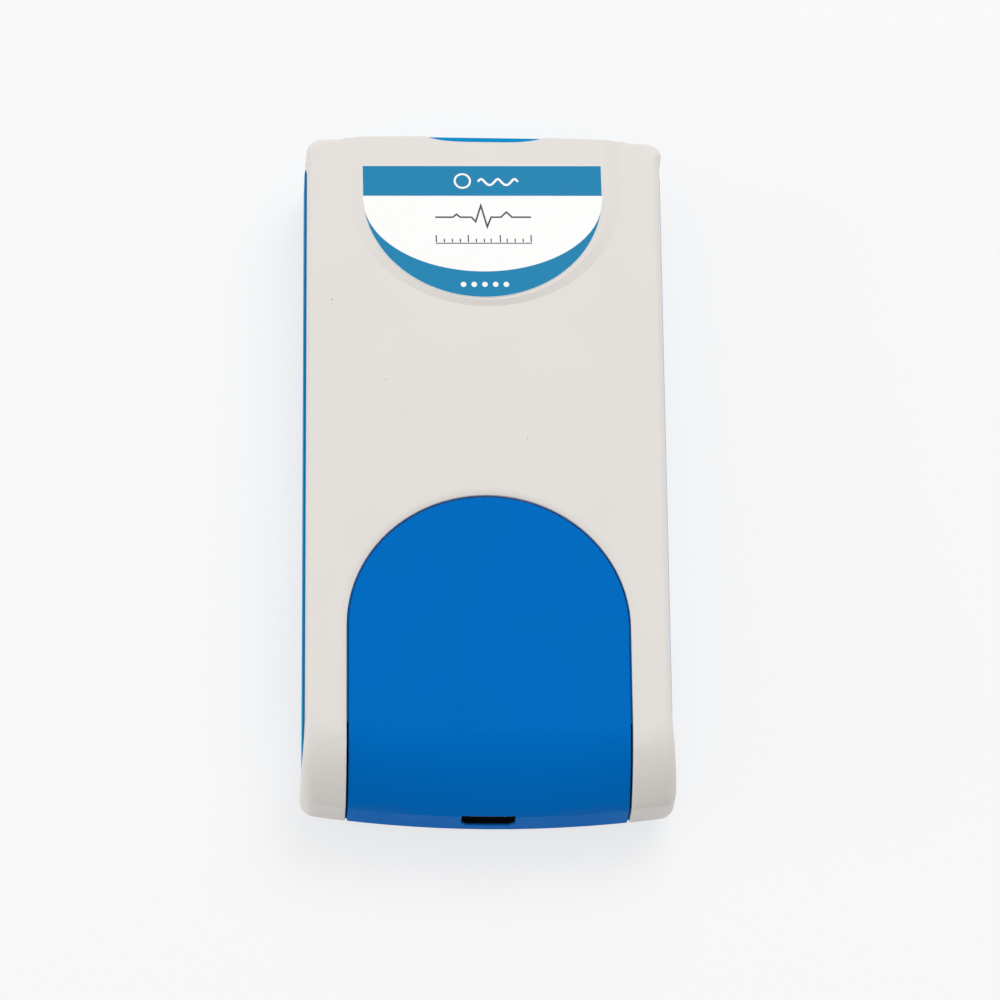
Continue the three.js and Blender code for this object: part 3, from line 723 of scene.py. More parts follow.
@dataclass
class CaseMouldings:
    """The white and blue shells, the sliding cover and the far bezel, with their outer edges rounded.

    Attributes:
        shell_edge: Rounding of the shells' edges.
        cover_edge: Rounding of the cover's edges.
        bezel_edge: Rounding of the bezel's edges.
        crease_depth: Depth below the upper shell's top that holds the pad's creases.
        crease_from: Where the part of the shell with the pad starts, along Y.
        crease_angle: Least angle of a crease, in degrees.
        cover_half: Half of the cover's width.
        cover_plate: Thickness of the cover's plate.
        arch_middle: Middle of the cover's round end, along Y.
        lip_start: Near end of the cover's lip, along Y.
        lip_root: How far the lip is rooted in the plate.
        lip_reach: How far the lip stands out into the seam.
        lip_lift: Height of the lip above the plate's lower face.
        lip_height: Thickness of the lip.
        lip_steps: Facets along the lip's round part.
    """

    shell_edge: float = 0.12
    cover_edge: float = 0.14
    bezel_edge: float = 0.05
    crease_depth: float = 0.7
    crease_from: float = 20.0
    crease_angle: float = 4.0
    cover_half: float = 20.4
    cover_plate: float = 1.5
    arch_middle: float = -26.0
    lip_start: float = -41.0
    lip_root: float = 0.3
    lip_reach: float = 0.22
    lip_lift: float = 0.7
    lip_height: float = 0.25
    lip_steps: int = 48

    def build(self) -> None:
        """Build the four mouldings."""
        self.moulding("upper_shell", "shell_white", WHITE_SHELL, self.shell_edge, Body.CASE)
        self.moulding("lower_shell", "shell_blue", BLUE_SHELL, self.shell_edge, Body.CASE)
        self.moulding("front_cover", "shell_blue", BLUE_COVER, self.cover_edge, Body.COVER)
        self.moulding("rear_bezel", "shell_blue", BLUE_SHELL, self.bezel_edge, Body.CASE)

    def moulding(self, node: str, slot: str, finish: Finish, edge: float, body: Body) -> None:
        """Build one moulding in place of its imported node."""
        piece = Piece(node + "_moulding", slot, body)
        shape = refined_shape(node, edge)
        if node == "upper_shell":
            self.crease(shape)
        piece.add(shape, finish)
        if node == "front_cover":
            self.lip(piece)
        piece.place(node, weighted=True)

    def crease(self, shape: Shape) -> None:
        """Keep the thin creases round the label's raised pad."""
        level = Extent.of("upper_shell").high.z - self.crease_depth
        for edge in shape.edges:
            on_pad = all(vert.co.z > level and vert.co.y > self.crease_from for vert in edge.verts)
            if on_pad and edge.calc_face_angle(0.0) > math.radians(self.crease_angle):
                edge.smooth = False

    def lip(self, piece: Piece) -> None:
        """Add the thin lip round the cover's lower edge, which fills the seam's floor."""
        cover = Extent.of("front_cover")
        lines = []
        for half in (self.cover_half - self.lip_root, self.cover_half + self.lip_reach):
            arch = arc((0, self.arch_middle), (half, half), 0, math.pi, self.lip_steps)
            lines.append([(half, self.lip_start), *arch, (-half, self.lip_start)])
        level = cover.high.z - self.cover_plate + self.lip_lift
        piece.add(bridged_shape(*lines, self.lip_height), BLUE_COVER, at(0, 0, level))


@dataclass
class PrintedLabel:
    """The half-round film with its printed fields and a plain pulse trace.

    Attributes:
        ink: Thickness of a printed layer.
        margin: Bare film round the print.
        band: Height of the blue band.
        curve: Depth of the film's round part.
        field_curve: Depth of the white field's round part.
        field_drop: How far the field's round part starts below the band.
        line: Width of the trace's line.
        rule_line: Width of the scale's line.
        tick_line: Width of a tick.
        pulse: The pulse trace, across and up from its middle.
        pulse_up: Height of the trace above the film's lowest point.
        ticks: Number of spaces on the scale under the trace.
        tick_pitch: Space between two ticks.
        tick_foot: Height of a tick's foot above the scale's line.
        tick_tops: Height of a short and of a long tick's top.
        long_tick: Every how many ticks a long one comes.
        scale_up: Height of the scale above the film's lowest point.
        dots: Places of the dots in the lower crescent, across from the middle.
        dot_radius: Radius of a dot.
        dots_up: Height of the dots above the film's lowest point.
        ring: Inner and outer radius of the emblem's ring.
        ring_across: Place of the ring, across from the middle.
        wave_start: Start of the emblem's wave, across from the middle.
        wave_rise: Height of the wave.
        wave_steps: Stretches that the wave is drawn with.
        wave_pace: Length of a stretch, and how far the wave turns over it in radians.
        wave_line: Width of the wave's line.
        lean: How far the film is stuck out of square, in degrees.
        shift: How far the film is stuck beside the middle.
        steps: Facets along the round outlines.
    """

    ink: float = 0.012
    margin: float = 0.05
    band: float = 5.05
    curve: float = 16.85
    field_curve: float = 11.85
    field_drop: float = 0.75
    line: float = 0.26
    rule_line: float = 0.156
    tick_line: float = 0.182
    pulse: tuple[Flat, ...] = (
        (-7.2, 0.0), (-4.6, 0.0), (-4.0, 0.55), (-3.4, 0.0), (-1.7, 0.0), (-1.2, -0.6), (-0.3, 2.3),
        (0.6, -1.3), (1.1, 0.0), (2.6, 0.0), (3.5, 0.9), (4.4, 0.0), (7.2, 0.0),
    )
    pulse_up: float = 13.4
    ticks: int = 12
    tick_pitch: float = 1.2
    tick_foot: float = 0.1
    tick_tops: Flat = (0.7, 1.3)
    long_tick: int = 4
    scale_up: float = 9.0
    dots: tuple[float, ...] = (-3.2, -1.6, 0.0, 1.6, 3.2)
    dot_radius: float = 0.42
    dots_up: float = 2.1
    ring: Flat = (1.0, 1.3)
    ring_across: float = -3.0
    wave_start: float = -0.8
    wave_rise: float = 0.5
    wave_steps: int = 35
    wave_pace: Flat = (0.18, 0.45)
    wave_line: float = 0.34
    lean: float = 0.85
    shift: float = -0.28
    steps: int = 64

    def build(self) -> None:
        """Build the film with its layers of ink."""
        box = Extent.of("label")
        half, tip = box.size.x / 2, box.low.y
        shoulder = tip + self.curve
        top = box.high.z - 2 * self.ink
        piece = Piece("label_film", "label_film")
        edge = arc((0, shoulder), (half, self.curve), math.pi, math.tau, self.steps)
        film = plate_shape([(half, box.high.y), (-half, box.high.y), *edge], top - box.low.z)
        piece.add(film, FILM_WHITE, at(0, 0, box.low.z))
        inner = half - self.margin
        band = [(-inner, shoulder), (inner, shoulder), (inner, box.high.y - self.margin),
                (-inner, box.high.y - self.margin)]
        piece.add(plate_shape(band, self.ink), FILM_BLUE, at(0, 0, top))
        piece.add(self.crescent(inner, shoulder), FILM_BLUE, at(0, 0, top))
        self.trace(piece, tip, top)
        self.emblem(piece, shoulder + self.band / 2 - self.margin, top)
        for across in self.dots:
            piece.add(rod_shape(self.dot_radius, self.ink, sides=24), FILM_WHITE,
                      at(across, tip + self.dots_up, top + self.ink))
        middle = at(*box.centre)
        bmesh.ops.transform(piece.work, matrix=middle @ at(self.shift, 0, 0, self.lean) @ middle.inverted(),
                            verts=piece.work.verts)
        piece.place("label")

    def crescent(self, half: float, shoulder: float) -> Shape:
        """Raise the crescent between the white field and the film's edge out of two bridged arcs.

        Args:
            half: Half of the print's width.
            shoulder: Where the film's round part starts.

        Returns:
            The shape.
        """
        depth = self.curve - self.margin
        drop = math.asin(self.field_drop / depth)
        # Both arcs stop half a step short of their ends, where they would meet.
        gap = 0.5 / (self.steps + 1)
        first = drop + (math.pi - 2 * drop) * gap
        outer = arc((0, shoulder), (half, depth), math.pi + first, math.tau - first, self.steps)
        first = math.pi * gap
        middle, radii = (0, shoulder - self.field_drop), (half * math.cos(drop), self.field_curve)
        inner = arc(middle, radii, math.pi + first, math.tau - first, self.steps)
        return bridged_shape(outer, inner, self.ink)

    def trace(self, piece: Piece, tip: float, level: float) -> None:
        """Print the pulse trace and the plain scale under it."""
        pulse = [(across, tip + self.pulse_up + up) for across, up in self.pulse]
        reach = self.ticks * self.tick_pitch / 2
        row = tip + self.scale_up
        drawn = [(pulse, self.line), ([(-reach, row), (reach, row)], self.rule_line)]
        for tick in range(self.ticks + 1):
            top = self.tick_tops[0 if tick % self.long_tick else 1]
            across = tick * self.tick_pitch - reach
            drawn.append(([(across, row + self.tick_foot), (across, row + top)], self.tick_line))
        for path, width in drawn:
            piece.add(self.stroke(path, width), FILM_GREY, at(0, 0, level))

    def stroke(self, path: Sequence[Flat], width: float) -> Shape:
        """Print a line along a path."""
        return swept_shape([(*point, 0.0) for point in path], (0, 0, self.ink), width)

    def emblem(self, piece: Piece, row: float, level: float) -> None:
        """Print the small white ring and wave in the middle of the band."""
        above = level + self.ink
        piece.add(ring_shape(*self.ring, self.ink), FILM_WHITE, at(self.ring_across, row, above))
        pace, turn = self.wave_pace
        wave = [(self.wave_start + pace * step, row + self.wave_rise * math.sin(turn * step))
                for step in range(self.wave_steps + 1)]
        piece.add(self.stroke(wave, self.wave_line), FILM_WHITE, at(0, 0, above))


@dataclass
class Fittings:
    """Rubber feet and the screws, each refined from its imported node.

    Attributes:
        foot_edge: Rounding of a foot's rim.
        screw_edge: Rounding of a screw's edges.
    """

    foot_edge: float = 0.16
    screw_edge: float = 0.07

    def build(self) -> None:
        """Build the feet and screws."""
        kinds = (("foot", "foot_rubber", RUBBER, self.foot_edge),
                 ("case_screw", "screw_steel", ZINC, self.screw_edge),
                 ("board_screw", "screw_steel", ZINC, self.screw_edge))
        for corner in CORNERS:
            for kind, slot, finish, edge in kinds:
                node = f"{kind}_{corner}"
                fitting(node + "_detailed", slot, node, finish, edge)


class LeadSides(Enum):
    """The sides of a chip that carry leads, as turns about Z in degrees."""

    LEFT_AND_RIGHT = (0, 180)
    NEAR_AND_FAR = (90, 270)
    ALL_FOUR = (0, 90, 180, 270)


@dataclass
class Chip:
    """A moulded chip with a row of connections along each of some sides.

    Attributes:
        node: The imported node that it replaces.
        sides: The sides with connections.
        per_side: Connections on each side.
        pitch: Space between two connections.
        width: Width of a connection.
        edge: Rounding of the body's edges.
        dimple: Radius of the mark beside the first connection.
        inset: How much further in than its own width the mark lies.
        dimple_height: Thickness of the mark, a quarter of which lies in the body.
    """

    node: str
    sides: LeadSides
    per_side: int
    pitch: float
    width: float
    edge: float = 0.12
    dimple: float = 0.32
    inset: float = 0.0
    dimple_height: float = 0.02

    def build(self, board_top: float) -> None:
        """Build the chip.

        Args:
            board_top: Height of the board's upper face.
        """
        box = Extent.of(self.node)
        piece = Piece(self.node + "_package", "chip_resin")
        piece.add(block_shape(*box.size, self.edge), CHIP_RESIN, box.seat(box.low.z))
        inset = self.edge + 2 * self.dimple + self.inset
        place = at(box.low.x + inset, box.high.y - inset, box.high.z - self.dimple_height / 4)
        piece.add(rod_shape(self.dimple, self.dimple_height), CHIP_MARK, place)
        for turn in self.sides.value:
            half = (box.size.x if turn in (0, 180) else box.size.y) / 2
            for across in spaced(self.per_side, self.pitch):
                place = box.seat(board_top, turn) @ at(half, across, 0)
                self.connect(piece, place, box.low.z - board_top, box.size.z)
        piece.place(self.node)

    def connect(self, piece: Piece, place: Matrix, gap: float, height: float) -> None:
        """Add one connection.

        Args:
            piece: The piece in the making.
            place: The foot of the chip's side where it goes, with X pointing outwards.
            gap: Height of the body above the board.
            height: Height of the body.
        """
        raise NotImplementedError


@dataclass
class LeadedChip(Chip):
    """A chip with bent leads that stand on the board.

    Attributes:
        reach: How far a lead stands out of the body.
        skin: Thickness of a lead.
        root: How far a lead starts inside the body.
        exit_share: Height at which a lead leaves the body, as a share of the body's.
        foot: Height of the bend above the board, and of the lead's tip.
    """

    reach: float = 1.0
    skin: float = 0.14
    root: float = 0.05
    exit_share: float = 0.42
    foot: Flat = (0.2, 0.16)

    def connect(self, piece: Piece, place: Matrix, gap: float, height: float) -> None:
        """Add one bent lead and its solder pad."""
        start = place @ at(-self.root, 0, 0)
        leave = gap + height * self.exit_share
        path = [(0, leave), (self.reach * 0.32, leave), (self.reach * 0.52, self.foot[0]),
                (self.reach, self.foot[1])]
        lead = swept_shape([(out, -self.width / 2, up) for out, up in path], (0, self.width, 0), self.skin)
        piece.add(lead, TIN, start)
        piece.add(pad_shape(self.reach * 0.75, self.width + 0.12), TIN, start @ at(self.reach * 0.8, 0, 0))


@dataclass
class PadChip(Chip):
    """A chip with flush side pads and no leads.

    Attributes:
        length: Length of a pad.
        shift: Place of a pad's middle, out from the chip's side.
        lap: How far a pad reaches up the body.
        pad_edge: Rounding of a pad's edges.
    """

    length: float = 0.7
    shift: float = -0.2
    lap: float = 0.12
    pad_edge: float = 0.03

    def connect(self, piece: Piece, place: Matrix, gap: float, height: float) -> None:
        """Add one flush pad."""
        pad = block_shape(self.length, self.width, gap + self.lap, self.pad_edge)
        piece.add(pad, TIN, place @ at(self.shift, 0, 0))


@dataclass
class MainBoard:
    """The circuit board with its laminate edge, copper under the mask, vias, pads and small components.

    Attributes:
        copper: Height of a track.
        track: Width of a track.
        sunk: How far tracks and lands start below the board's upper face.
        via: Inner and outer radius of a via.
        land: Inner and outer radius of the land round a board screw.
        passive_size: Length, width and height of a small component.
        capacitor_rise: How much taller a capacitor is than a resistor.
        resistors: Place and turn of each small resistor.
        capacitors: Place and turn of each small capacitor.
        buses: Start, end, number, pitch and share of the bend of each group of tracks.
        vias: Places of the vias.
    """

    copper: float = 0.035
    track: float = 0.28
    sunk: Flat = (0.005, 0.004)
    via: Flat = (0.18, 0.42)
    land: Flat = (1.25, 2.35)
    passive_size: Point = (1.6, 0.85, 0.5)
    capacitor_rise: float = 1.5
    resistors: tuple[Point, ...] = (
        (10.8, -29.6, 0), (-1.2, -35.2, 90), (0.8, -35.2, 90), (-10.6, -24.4, 90), (15.6, -38.2, 90),
        (3.4, -20.4, 0), (9.6, -4.6, 0), (17.6, -27.6, 90), (15.4, -27.6, 90), (-14.4, 16.8, 0),
        (-19.2, 11.6, 90), (17.6, 12.2, 90), (17.6, 15.8, 90), (-6.2, 29.4, 90), (-3.4, 29.4, 90),
        (5.0, 29.4, 90), (7.8, 29.4, 90), (-7.4, 40.2, 0), (7.4, 40.2, 0),
    )
    capacitors: tuple[Point, ...] = (
        (10.8, -25.2, 0), (10.8, -27.4, 0), (2.8, -35.2, 90), (-12.6, -36.4, 90), (-12.6, -39.6, 90),
        (-10.6, -34.6, 90), (15.6, -42.4, 90), (4.4, -43.2, 90), (-4.4, -43.2, 90), (-3.4, -20.2, 0),
        (-12.2, -20.2, 0), (-3.4, -4.6, 0), (-12.2, -4.6, 0), (9.6, -20.4, 0), (3.4, -4.6, 0),
        (16.6, -8.4, 0), (-14.4, 14.6, 0), (-19.2, 8.4, 90), (-14.4, 3.6, 0), (17.6, 8.6, 90),
        (-0.6, 29.4, 90), (2.2, 29.4, 90), (-7.4, 36.2, 0), (7.4, 36.2, 0), (-13.0, 31.6, 90),
        (13.0, 31.6, 90),
    )
    buses: tuple[tuple[Flat, Flat, int, float, float], ...] = (
        ((-0.6, -45.6), (-8.0, -41.6), 2, 0.9, 0.45),
        ((-8.6, -34.9), (2.2, -32.2), 6, 0.6, 0.4),
        ((2.4, -22.8), (4.2, -19.0), 5, 0.62, 0.5),
        ((4.0, -6.2), (0.6, 4.4), 5, 0.7, 0.5),
        ((-5.8, 25.6), (-1.6, 36.6), 3, 1.5, 0.6),
        ((9.0, 25.6), (4.2, 36.6), 2, 1.5, 0.6),
        ((13.6, -36.2), (13.8, -20.4), 2, 0.9, 0.5),
        ((-16.6, -40.8), (-16.2, -34.0), 2, 0.8, 0.5),
        ((-18.9, -25.6), (-18.2, -33.6), 3, 0.7, 0.5),
        ((-17.6, -10.8), (-17.6, 6.0), 3, 0.7, 0.5),
        ((17.6, -11.0), (15.6, 20.0), 3, 0.8, 0.3),
        ((-10.6, -3.4), (-12.6, 4.4), 3, 0.7, 0.5),
    )
    vias: tuple[Flat, ...] = (
        (-2.2, -39.4), (4.6, -37.4), (13.4, -33.6), (-18.6, -27.6), (-19.8, -4.2), (12.6, -4.4), (19.4, -2.0),
        (-10.9, 1.6), (14.9, 22.9), (-11.4, 22.4), (-16.9, 21.2), (18.8, 23.6), (-2.4, 33.4), (1.2, 34.2),
        (10.9, 27.0), (-10.9, 26.8), (20.2, -23.4), (12.4, -23.2), (-9.6, -44.6), (9.4, -45.4), (18.9, 30.1),
        (-18.9, 30.1), (-14.0, 44.4), (14.0, 44.4), (-5.7, -22.4), (11.6, -34.8), (-20.3, 17.4), (20.3, 4.6),
    )

    def build(self) -> float:
        """Build the board and what is soldered flat on it.

        Returns:
            Height of the board's upper face.
        """
        box = Extent.of("main_board")
        self.sheet()
        self.tracks(box.high.z)
        self.small_components(box.high.z)
        return box.high.z

    def sheet(self) -> None:
        """Build the board with masked flat faces and bare upright edges."""
        piece = Piece("main_board_sheet", "circuit_board")
        shape = refined_shape("main_board")
        piece.finishes = [SOLDER_MASK, LAMINATE]
        for face in shape.faces:
            face.material_index = 1 if abs(face.normal.z) < 0.5 else 0
        piece.merge(shape)
        piece.place("main_board")

    def tracks(self, level: float) -> None:
        """Lay the tracks under the mask, the vias and the screw lands."""
        track_level, land_level = (level - sunk for sunk in self.sunk)
        piece = Piece("board_tracks", "circuit_board")
        for start, end, count, pitch, bend in self.buses:
            for shift in spaced(count, pitch):
                track = swept_shape(self.dogleg(start, end, shift, bend), (0, 0, self.copper), self.track)
                piece.add(track, MASKED_COPPER, at(0, 0, track_level))
        piece.place()
        lands = Piece("board_lands", "tinned_steel")
        for x, y in self.vias:
            lands.add(ring_shape(*self.via, self.copper, 16), TIN, at(x, y, land_level))
        for corner in CORNERS:
            seat = Extent.of("board_screw_" + corner).seat(land_level)
            lands.add(ring_shape(*self.land, self.copper), TIN, seat)
        lands.place()

    def dogleg(self, start: Flat, end: Flat, shift: float, bend: float) -> list[Point]:
        """Return a track that runs along Y with one slanting stretch.

        Args:
            start: Where the group of tracks starts.
            end: Where it ends.
            shift: How far this track lies beside the middle of its group.
            bend: Share of the way at which the slanting stretch lies.

        Returns:
            The track's points.
        """
        run = end[0] - start[0]
        rise = end[1] - start[1]
        slant = min(abs(run), abs(rise) * 0.9) * math.copysign(1, rise)
        middle = start[1] + rise * bend + shift * math.copysign(0.4, run * rise)
        return [
            (start[0] + shift, start[1], 0.0), (start[0] + shift, middle - slant / 2, 0.0),
            (end[0] + shift, middle + slant / 2, 0.0), (end[0] + shift, end[1], 0.0),
        ]

    def small_components(self, level: float) -> None:
        """Solder the small resistors and capacitors."""
        length, width, height = self.passive_size
        kinds = (("chip_resistors", CHIP_RESIN, height, self.resistors),
                 ("chip_capacitors", CERAMIC, height * self.capacitor_rise, self.capacitors))
        for name, finish, tall, spots in kinds:
            piece = Piece(name, "chip_resin")
            for x, y, turn in spots:
                place = at(x, y, level, turn)
                body = block_shape(length * 0.66, width * 0.96, tall, 0.04)
                piece.add(body, finish, place @ at(0, 0, 0.06))
                for side in (-length, length):
                    end = block_shape(length * 0.2, width, tall + 0.04, 0.05)
                    piece.add(end, TIN, place @ at(side * 0.42, 0, 0.04))
                    piece.add(pad_shape(length * 0.46, width + 0.1), TIN, place @ at(side * 0.5, 0, 0))
            piece.place()


@dataclass
class PortShadeLiner:
    """The near-black lining of the cover's plug opening, with a back wall round the socket's mouth: painted
    shade that makes the opening look dark.

    Attributes:
        width: Width of the cover's opening.
        height: Height of the cover's opening.
        low: Height of the opening's lower edge.
        cut: Cut of its two lower corners.
        play: Gap between the lining and the cover.
        skin: How far the lining reaches into the opening.
        setback: How far the lining starts behind the cover's near face.
        length: Length of the lining.
        wall: Thickness of its back wall.
        mouth: Inset of the hole in the back wall, at the sides and above and below.
    """

    width: float = 7.8
    height: float = 3.5
    low: float = 6.85
    cut: float = 0.8
    play: float = 0.02
    skin: float = 0.14
    setback: float = 0.3
    length: float = 0.75
    wall: float = 0.15
    mouth: Flat = (0.55, 0.8)

    def build(self) -> None:
        """Build the lining and its back wall."""
        near = Extent.of("front_cover").low.y + self.setback
        outer = self.outline(self.play, self.play)
        # The lining and its back wall are painted shade: near-black sheets that darken the opening where its
        # depth lies in shadow.
        piece = Piece("port_shade_liner", "black_plastic", Body.COVER)
        upright = Matrix.Rotation(math.pi / 2, 4, "X")
        lining = bridged_shape(outer, self.outline(self.skin, self.skin), -self.length, closed=True)
        piece.add(lining, PAINTED_SHADE_BLACK, at(0, near, 0) @ upright)
        back = bridged_shape(outer, self.outline(*self.mouth), -self.wall, closed=True)
        piece.add(back, PAINTED_SHADE_BLACK, at(0, near + self.length - self.wall, 0) @ upright)
        piece.place()

    def outline(self, side: float, level: float) -> list[Flat]:
        """Return the opening's outline, drawn in at the sides, and above and below."""
        half, low, high = self.width / 2 - side, self.low + level, self.low + self.height - level
        return [(-half + self.cut, low), (half - self.cut, low), (half, low + self.cut), (half, high),
                (-half, high), (-half, low + self.cut)]


@dataclass
class UsbSocket:
    """The micro-B socket: folded shell, tongue with its contact strips, and solder tabs.

    Attributes:
        contacts: Number of contacts.
        contact_pitch: Space between two contacts.
        contact_width: Width of a contact.
        tab: Width, length, height and rounding of a solder tab.
        lead_path: Side view of a contact's lead, out from the socket's back and up from the board.
        lead_skin: Thickness of a lead.
    """

    contacts: int = 5
    contact_pitch: float = 0.65
    contact_width: float = 0.3
    tab: tuple[float, ...] = (0.9, 1.5, 0.3, 0.05)
    lead_path: tuple[Flat, ...] = ((-0.2, 0.8), (0.3, 0.8), (0.5, 0.16), (1.0, 0.14))
    lead_skin: float = 0.12

    def build(self, board_top: float) -> None:
        """Build the socket on the board's upper face."""
        shell = Piece("usb_socket_folded_shell", "tinned_steel")
        shell.add(refined_shape("usb_socket_shell", 0.07), BRUSHED_TIN)
        box = Extent.of("usb_socket_shell")
        for side in (-1, 1):
            place = at(box.centre.x + side * (box.size.x / 2 + 0.3), box.high.y - 1.3, board_top)
            shell.add(block_shape(*self.tab), TIN, place)
        shell.place("usb_socket_shell", weighted=True)
        tongue = Piece("usb_socket_tongue", "black_plastic")
        tongue.add(refined_shape("usb_socket_blade", 0.05), BLACK_PLASTIC)
        leads = Piece("usb_socket_leads", "tinned_steel")
        blade = Extent.of("usb_socket_blade")
        for across in spaced(self.contacts, self.contact_pitch):
            strip = block_shape(self.contact_width, blade.size.y * 0.7, 0.1, 0.02)
            tongue.add(strip, GOLD, at(across, blade.low.y + blade.size.y * 0.42, blade.low.z - 0.06))
            path = [(across - self.contact_width / 2, box.high.y + out, up) for out, up in self.lead_path]
            lead = swept_shape(path, (self.contact_width, 0, 0), self.lead_skin)
            leads.add(lead, TIN, at(0, 0, board_top))
        tongue.place("usb_socket_blade", weighted=True)
        leads.place()


@dataclass
class ElectrodeJack:
    """The round jack at the far end, with its ring and solder legs.

    Attributes:
        leg_shares: Places of the legs along the housing, as shares of its length.
        leg_path: Side view of a leg, out from the housing's side and up from the board.
        leg_width: Width of a leg.
        leg_skin: Thickness of a leg.
        leg_pad: Length and width of a leg's solder pad.
    """

    leg_shares: Flat = (0.24, 0.72)
    leg_path: tuple[Flat, ...] = ((-0.1, 1.5), (0.34, 1.5), (0.5, 0.2), (1.3, 0.16))
    leg_width: float = 1.2
    leg_skin: float = 0.18
    leg_pad: Flat = (1.3, 1.6)

    def build(self, board_top: float) -> None:
        """Build the jack on the board's upper face."""
        fitting("jack_housing_block", "black_plastic", "jack_housing", BLACK_PLASTIC, 0.18)
        fitting("jack_sleeve_ring", "tinned_steel", "jack_sleeve", BRUSHED_TIN, 0.12)
        box = Extent.of("jack_housing")
        legs = Piece("jack_solder_legs", "tinned_steel")
        path = [(out, -self.leg_width / 2, up) for out, up in self.leg_path]
        for turn in (180, 0):
            for along in self.leg_shares:
                place = box.seat(board_top, turn) @ at(box.size.x / 2, 0, 0)
                place.translation.y = box.low.y + along * box.size.y
                legs.add(swept_shape(path, (0, self.leg_width, 0), self.leg_skin), TIN, place)
                legs.add(pad_shape(*self.leg_pad), TIN, place @ at(1.0, 0, 0))
        legs.place()


@dataclass
class PowerParts:
    """The wound and stored-energy parts: inductor, tantalum and round capacitors, crystal, pins and shield.

    Attributes:
        pin_count: Number of programming pins.
        pin_pitch: Space between two pins.
        pin_base: Height of the pins' black base.
        dimples: Columns and rows of dimples in the shield's lid.
    """

    pin_count: int = 5
    pin_pitch: float = 2.54
    pin_base: float = 2.5
    dimples: tuple[int, int] = (4, 3)

    def build(self, board_top: float) -> None:
        """Build the parts on the board's upper face."""
        self.inductor(board_top)
        self.tantalum(board_top)
        self.round_capacitor()
        self.crystal(board_top)
        self.pins()
        self.shield()

    def inductor(self, board_top: float) -> None:
        """Build the shielded inductor with its copper coil showing round the core."""
        box = Extent.of("power_inductor")
        piece = Piece("power_inductor_core", "ferrite")
        place, height = box.seat(box.low.z), box.size.z
        block = rounded_outline(box.size.x, box.size.y, 1.3, 3)
        piece.add(plate_shape(block, height * 0.86, 0.14), FERRITE, place)
        core, step = box.size.x * 0.36, 0.25
        coil = [(0, 0), (core, 0), (core, height * 0.94), (core - step, height * 0.94),
                (core - step, height * 0.9), (0, height * 0.9)]
        piece.add(turned_shape(coil), COPPER_WIRE, place)
        cap = [(0, 0), (core * 0.74, 0), (core * 0.74, height * 0.97), (core * 0.7, height), (0, height)]
        piece.add(turned_shape(cap), FERRITE, place)
        for side in (-1, 1):
            foot = block_shape(1.2, box.size.y * 0.5, box.low.z - board_top + 0.1, 0.04)
            piece.add(foot, TIN, box.seat(board_top) @ at(side * (box.size.x / 2 - 0.4), 0, 0))
        piece.place("power_inductor")

    def tantalum(self, board_top: float) -> None:
        """Build the tantalum capacitor with its bar and folded ends."""
        box = Extent.of("tantalum_capacitor")
        piece = Piece("tantalum_capacitor_block", "tantalum_resin")
        piece.add(block_shape(*box.size, 0.2), TANTALUM, box.seat(box.low.z))
        bar = block_shape(box.size.x * 0.86, 1.1, 0.02)
        piece.add(bar, TANTALUM_BAR, at(box.centre.x, box.high.y - 1.3, box.high.z - 0.008))
        width, fold = 2.4, ((-0.05, 1.3), (0.2, 1.3), (0.2, 0.1), (-1.0, 0.1))
        for side in (-1, 1):
            path = [(-width / 2, side * out, up) for out, up in fold]
            end = box.seat(board_top) @ at(0, side * box.size.y / 2, 0)
            piece.add(swept_shape(path, (width, 0, 0), 0.14), TIN, end)
        piece.place("tantalum_capacitor")

    def round_capacitor(self) -> None:
        """Build the round capacitor: plastic foot, crimped can, and its dark segment."""
        box = Extent.of("round_capacitor")
        piece = Piece("round_capacitor_can", "capacitor_aluminium")
        radius, top, foot = box.size.x / 2, box.size.z, 1.0
        can, neck = radius - 0.1, radius - 0.38
        place = box.seat(box.low.z)
        base = rounded_outline(2 * radius, 2 * radius, 0.8, 2)
        piece.add(plate_shape(base, foot, 0.1), BLACK_PLASTIC, place)
        profile = [(0, foot - 0.1), (can, foot - 0.1), (can, foot + 0.5), (neck, foot + 0.75),
                   (neck, foot + 0.95), (can, foot + 1.2), (can, top - 0.3), (can - 0.09, top - 0.09),
                   (can - 0.3, top - 0.02), (0, top - 0.02)]
        piece.add(turned_shape(profile, 56), ALUMINIUM, place)
        # The printed segment reaches to a chord at this share of the can's radius.
        chord_share, rim = 0.45, can - 0.32
        reach = math.acos(chord_share)
        segment = arc((0, 0), (rim, rim), -reach, reach, 16)
        piece.add(plate_shape(segment, 0.02), CHIP_RESIN, place @ at(0, 0, top - 0.022, 90))
        piece.place("round_capacitor")

    def crystal(self, board_top: float) -> None:
        """Build the crystal's drawn can with its welded flange and base strip."""
        box = Extent.of("crystal")
        piece = Piece("crystal_can", "tinned_steel")
        piece.add(refined_shape("crystal", 0.3, 3), BRUSHED_TIN)
        width, length = box.size.x + 0.7, box.size.y + 0.7
        flange = rounded_outline(width, length, width / 2 - 0.01, 12)
        piece.add(plate_shape(flange, 0.3, 0.08), BRUSHED_TIN, box.seat(box.low.z))
        base = block_shape(box.size.x - 0.4, box.size.y - 1.5, box.low.z - board_top, 0.05)
        piece.add(base, BLACK_PLASTIC, box.seat(board_top))
        for side in (-1, 1):
            lug = block_shape(0.8, 1.8, 0.16, 0.04)
            piece.add(lug, TIN, box.seat(board_top) @ at(0, side * (box.size.y / 2 + 0.6), 0))
        piece.place("crystal", weighted=True)

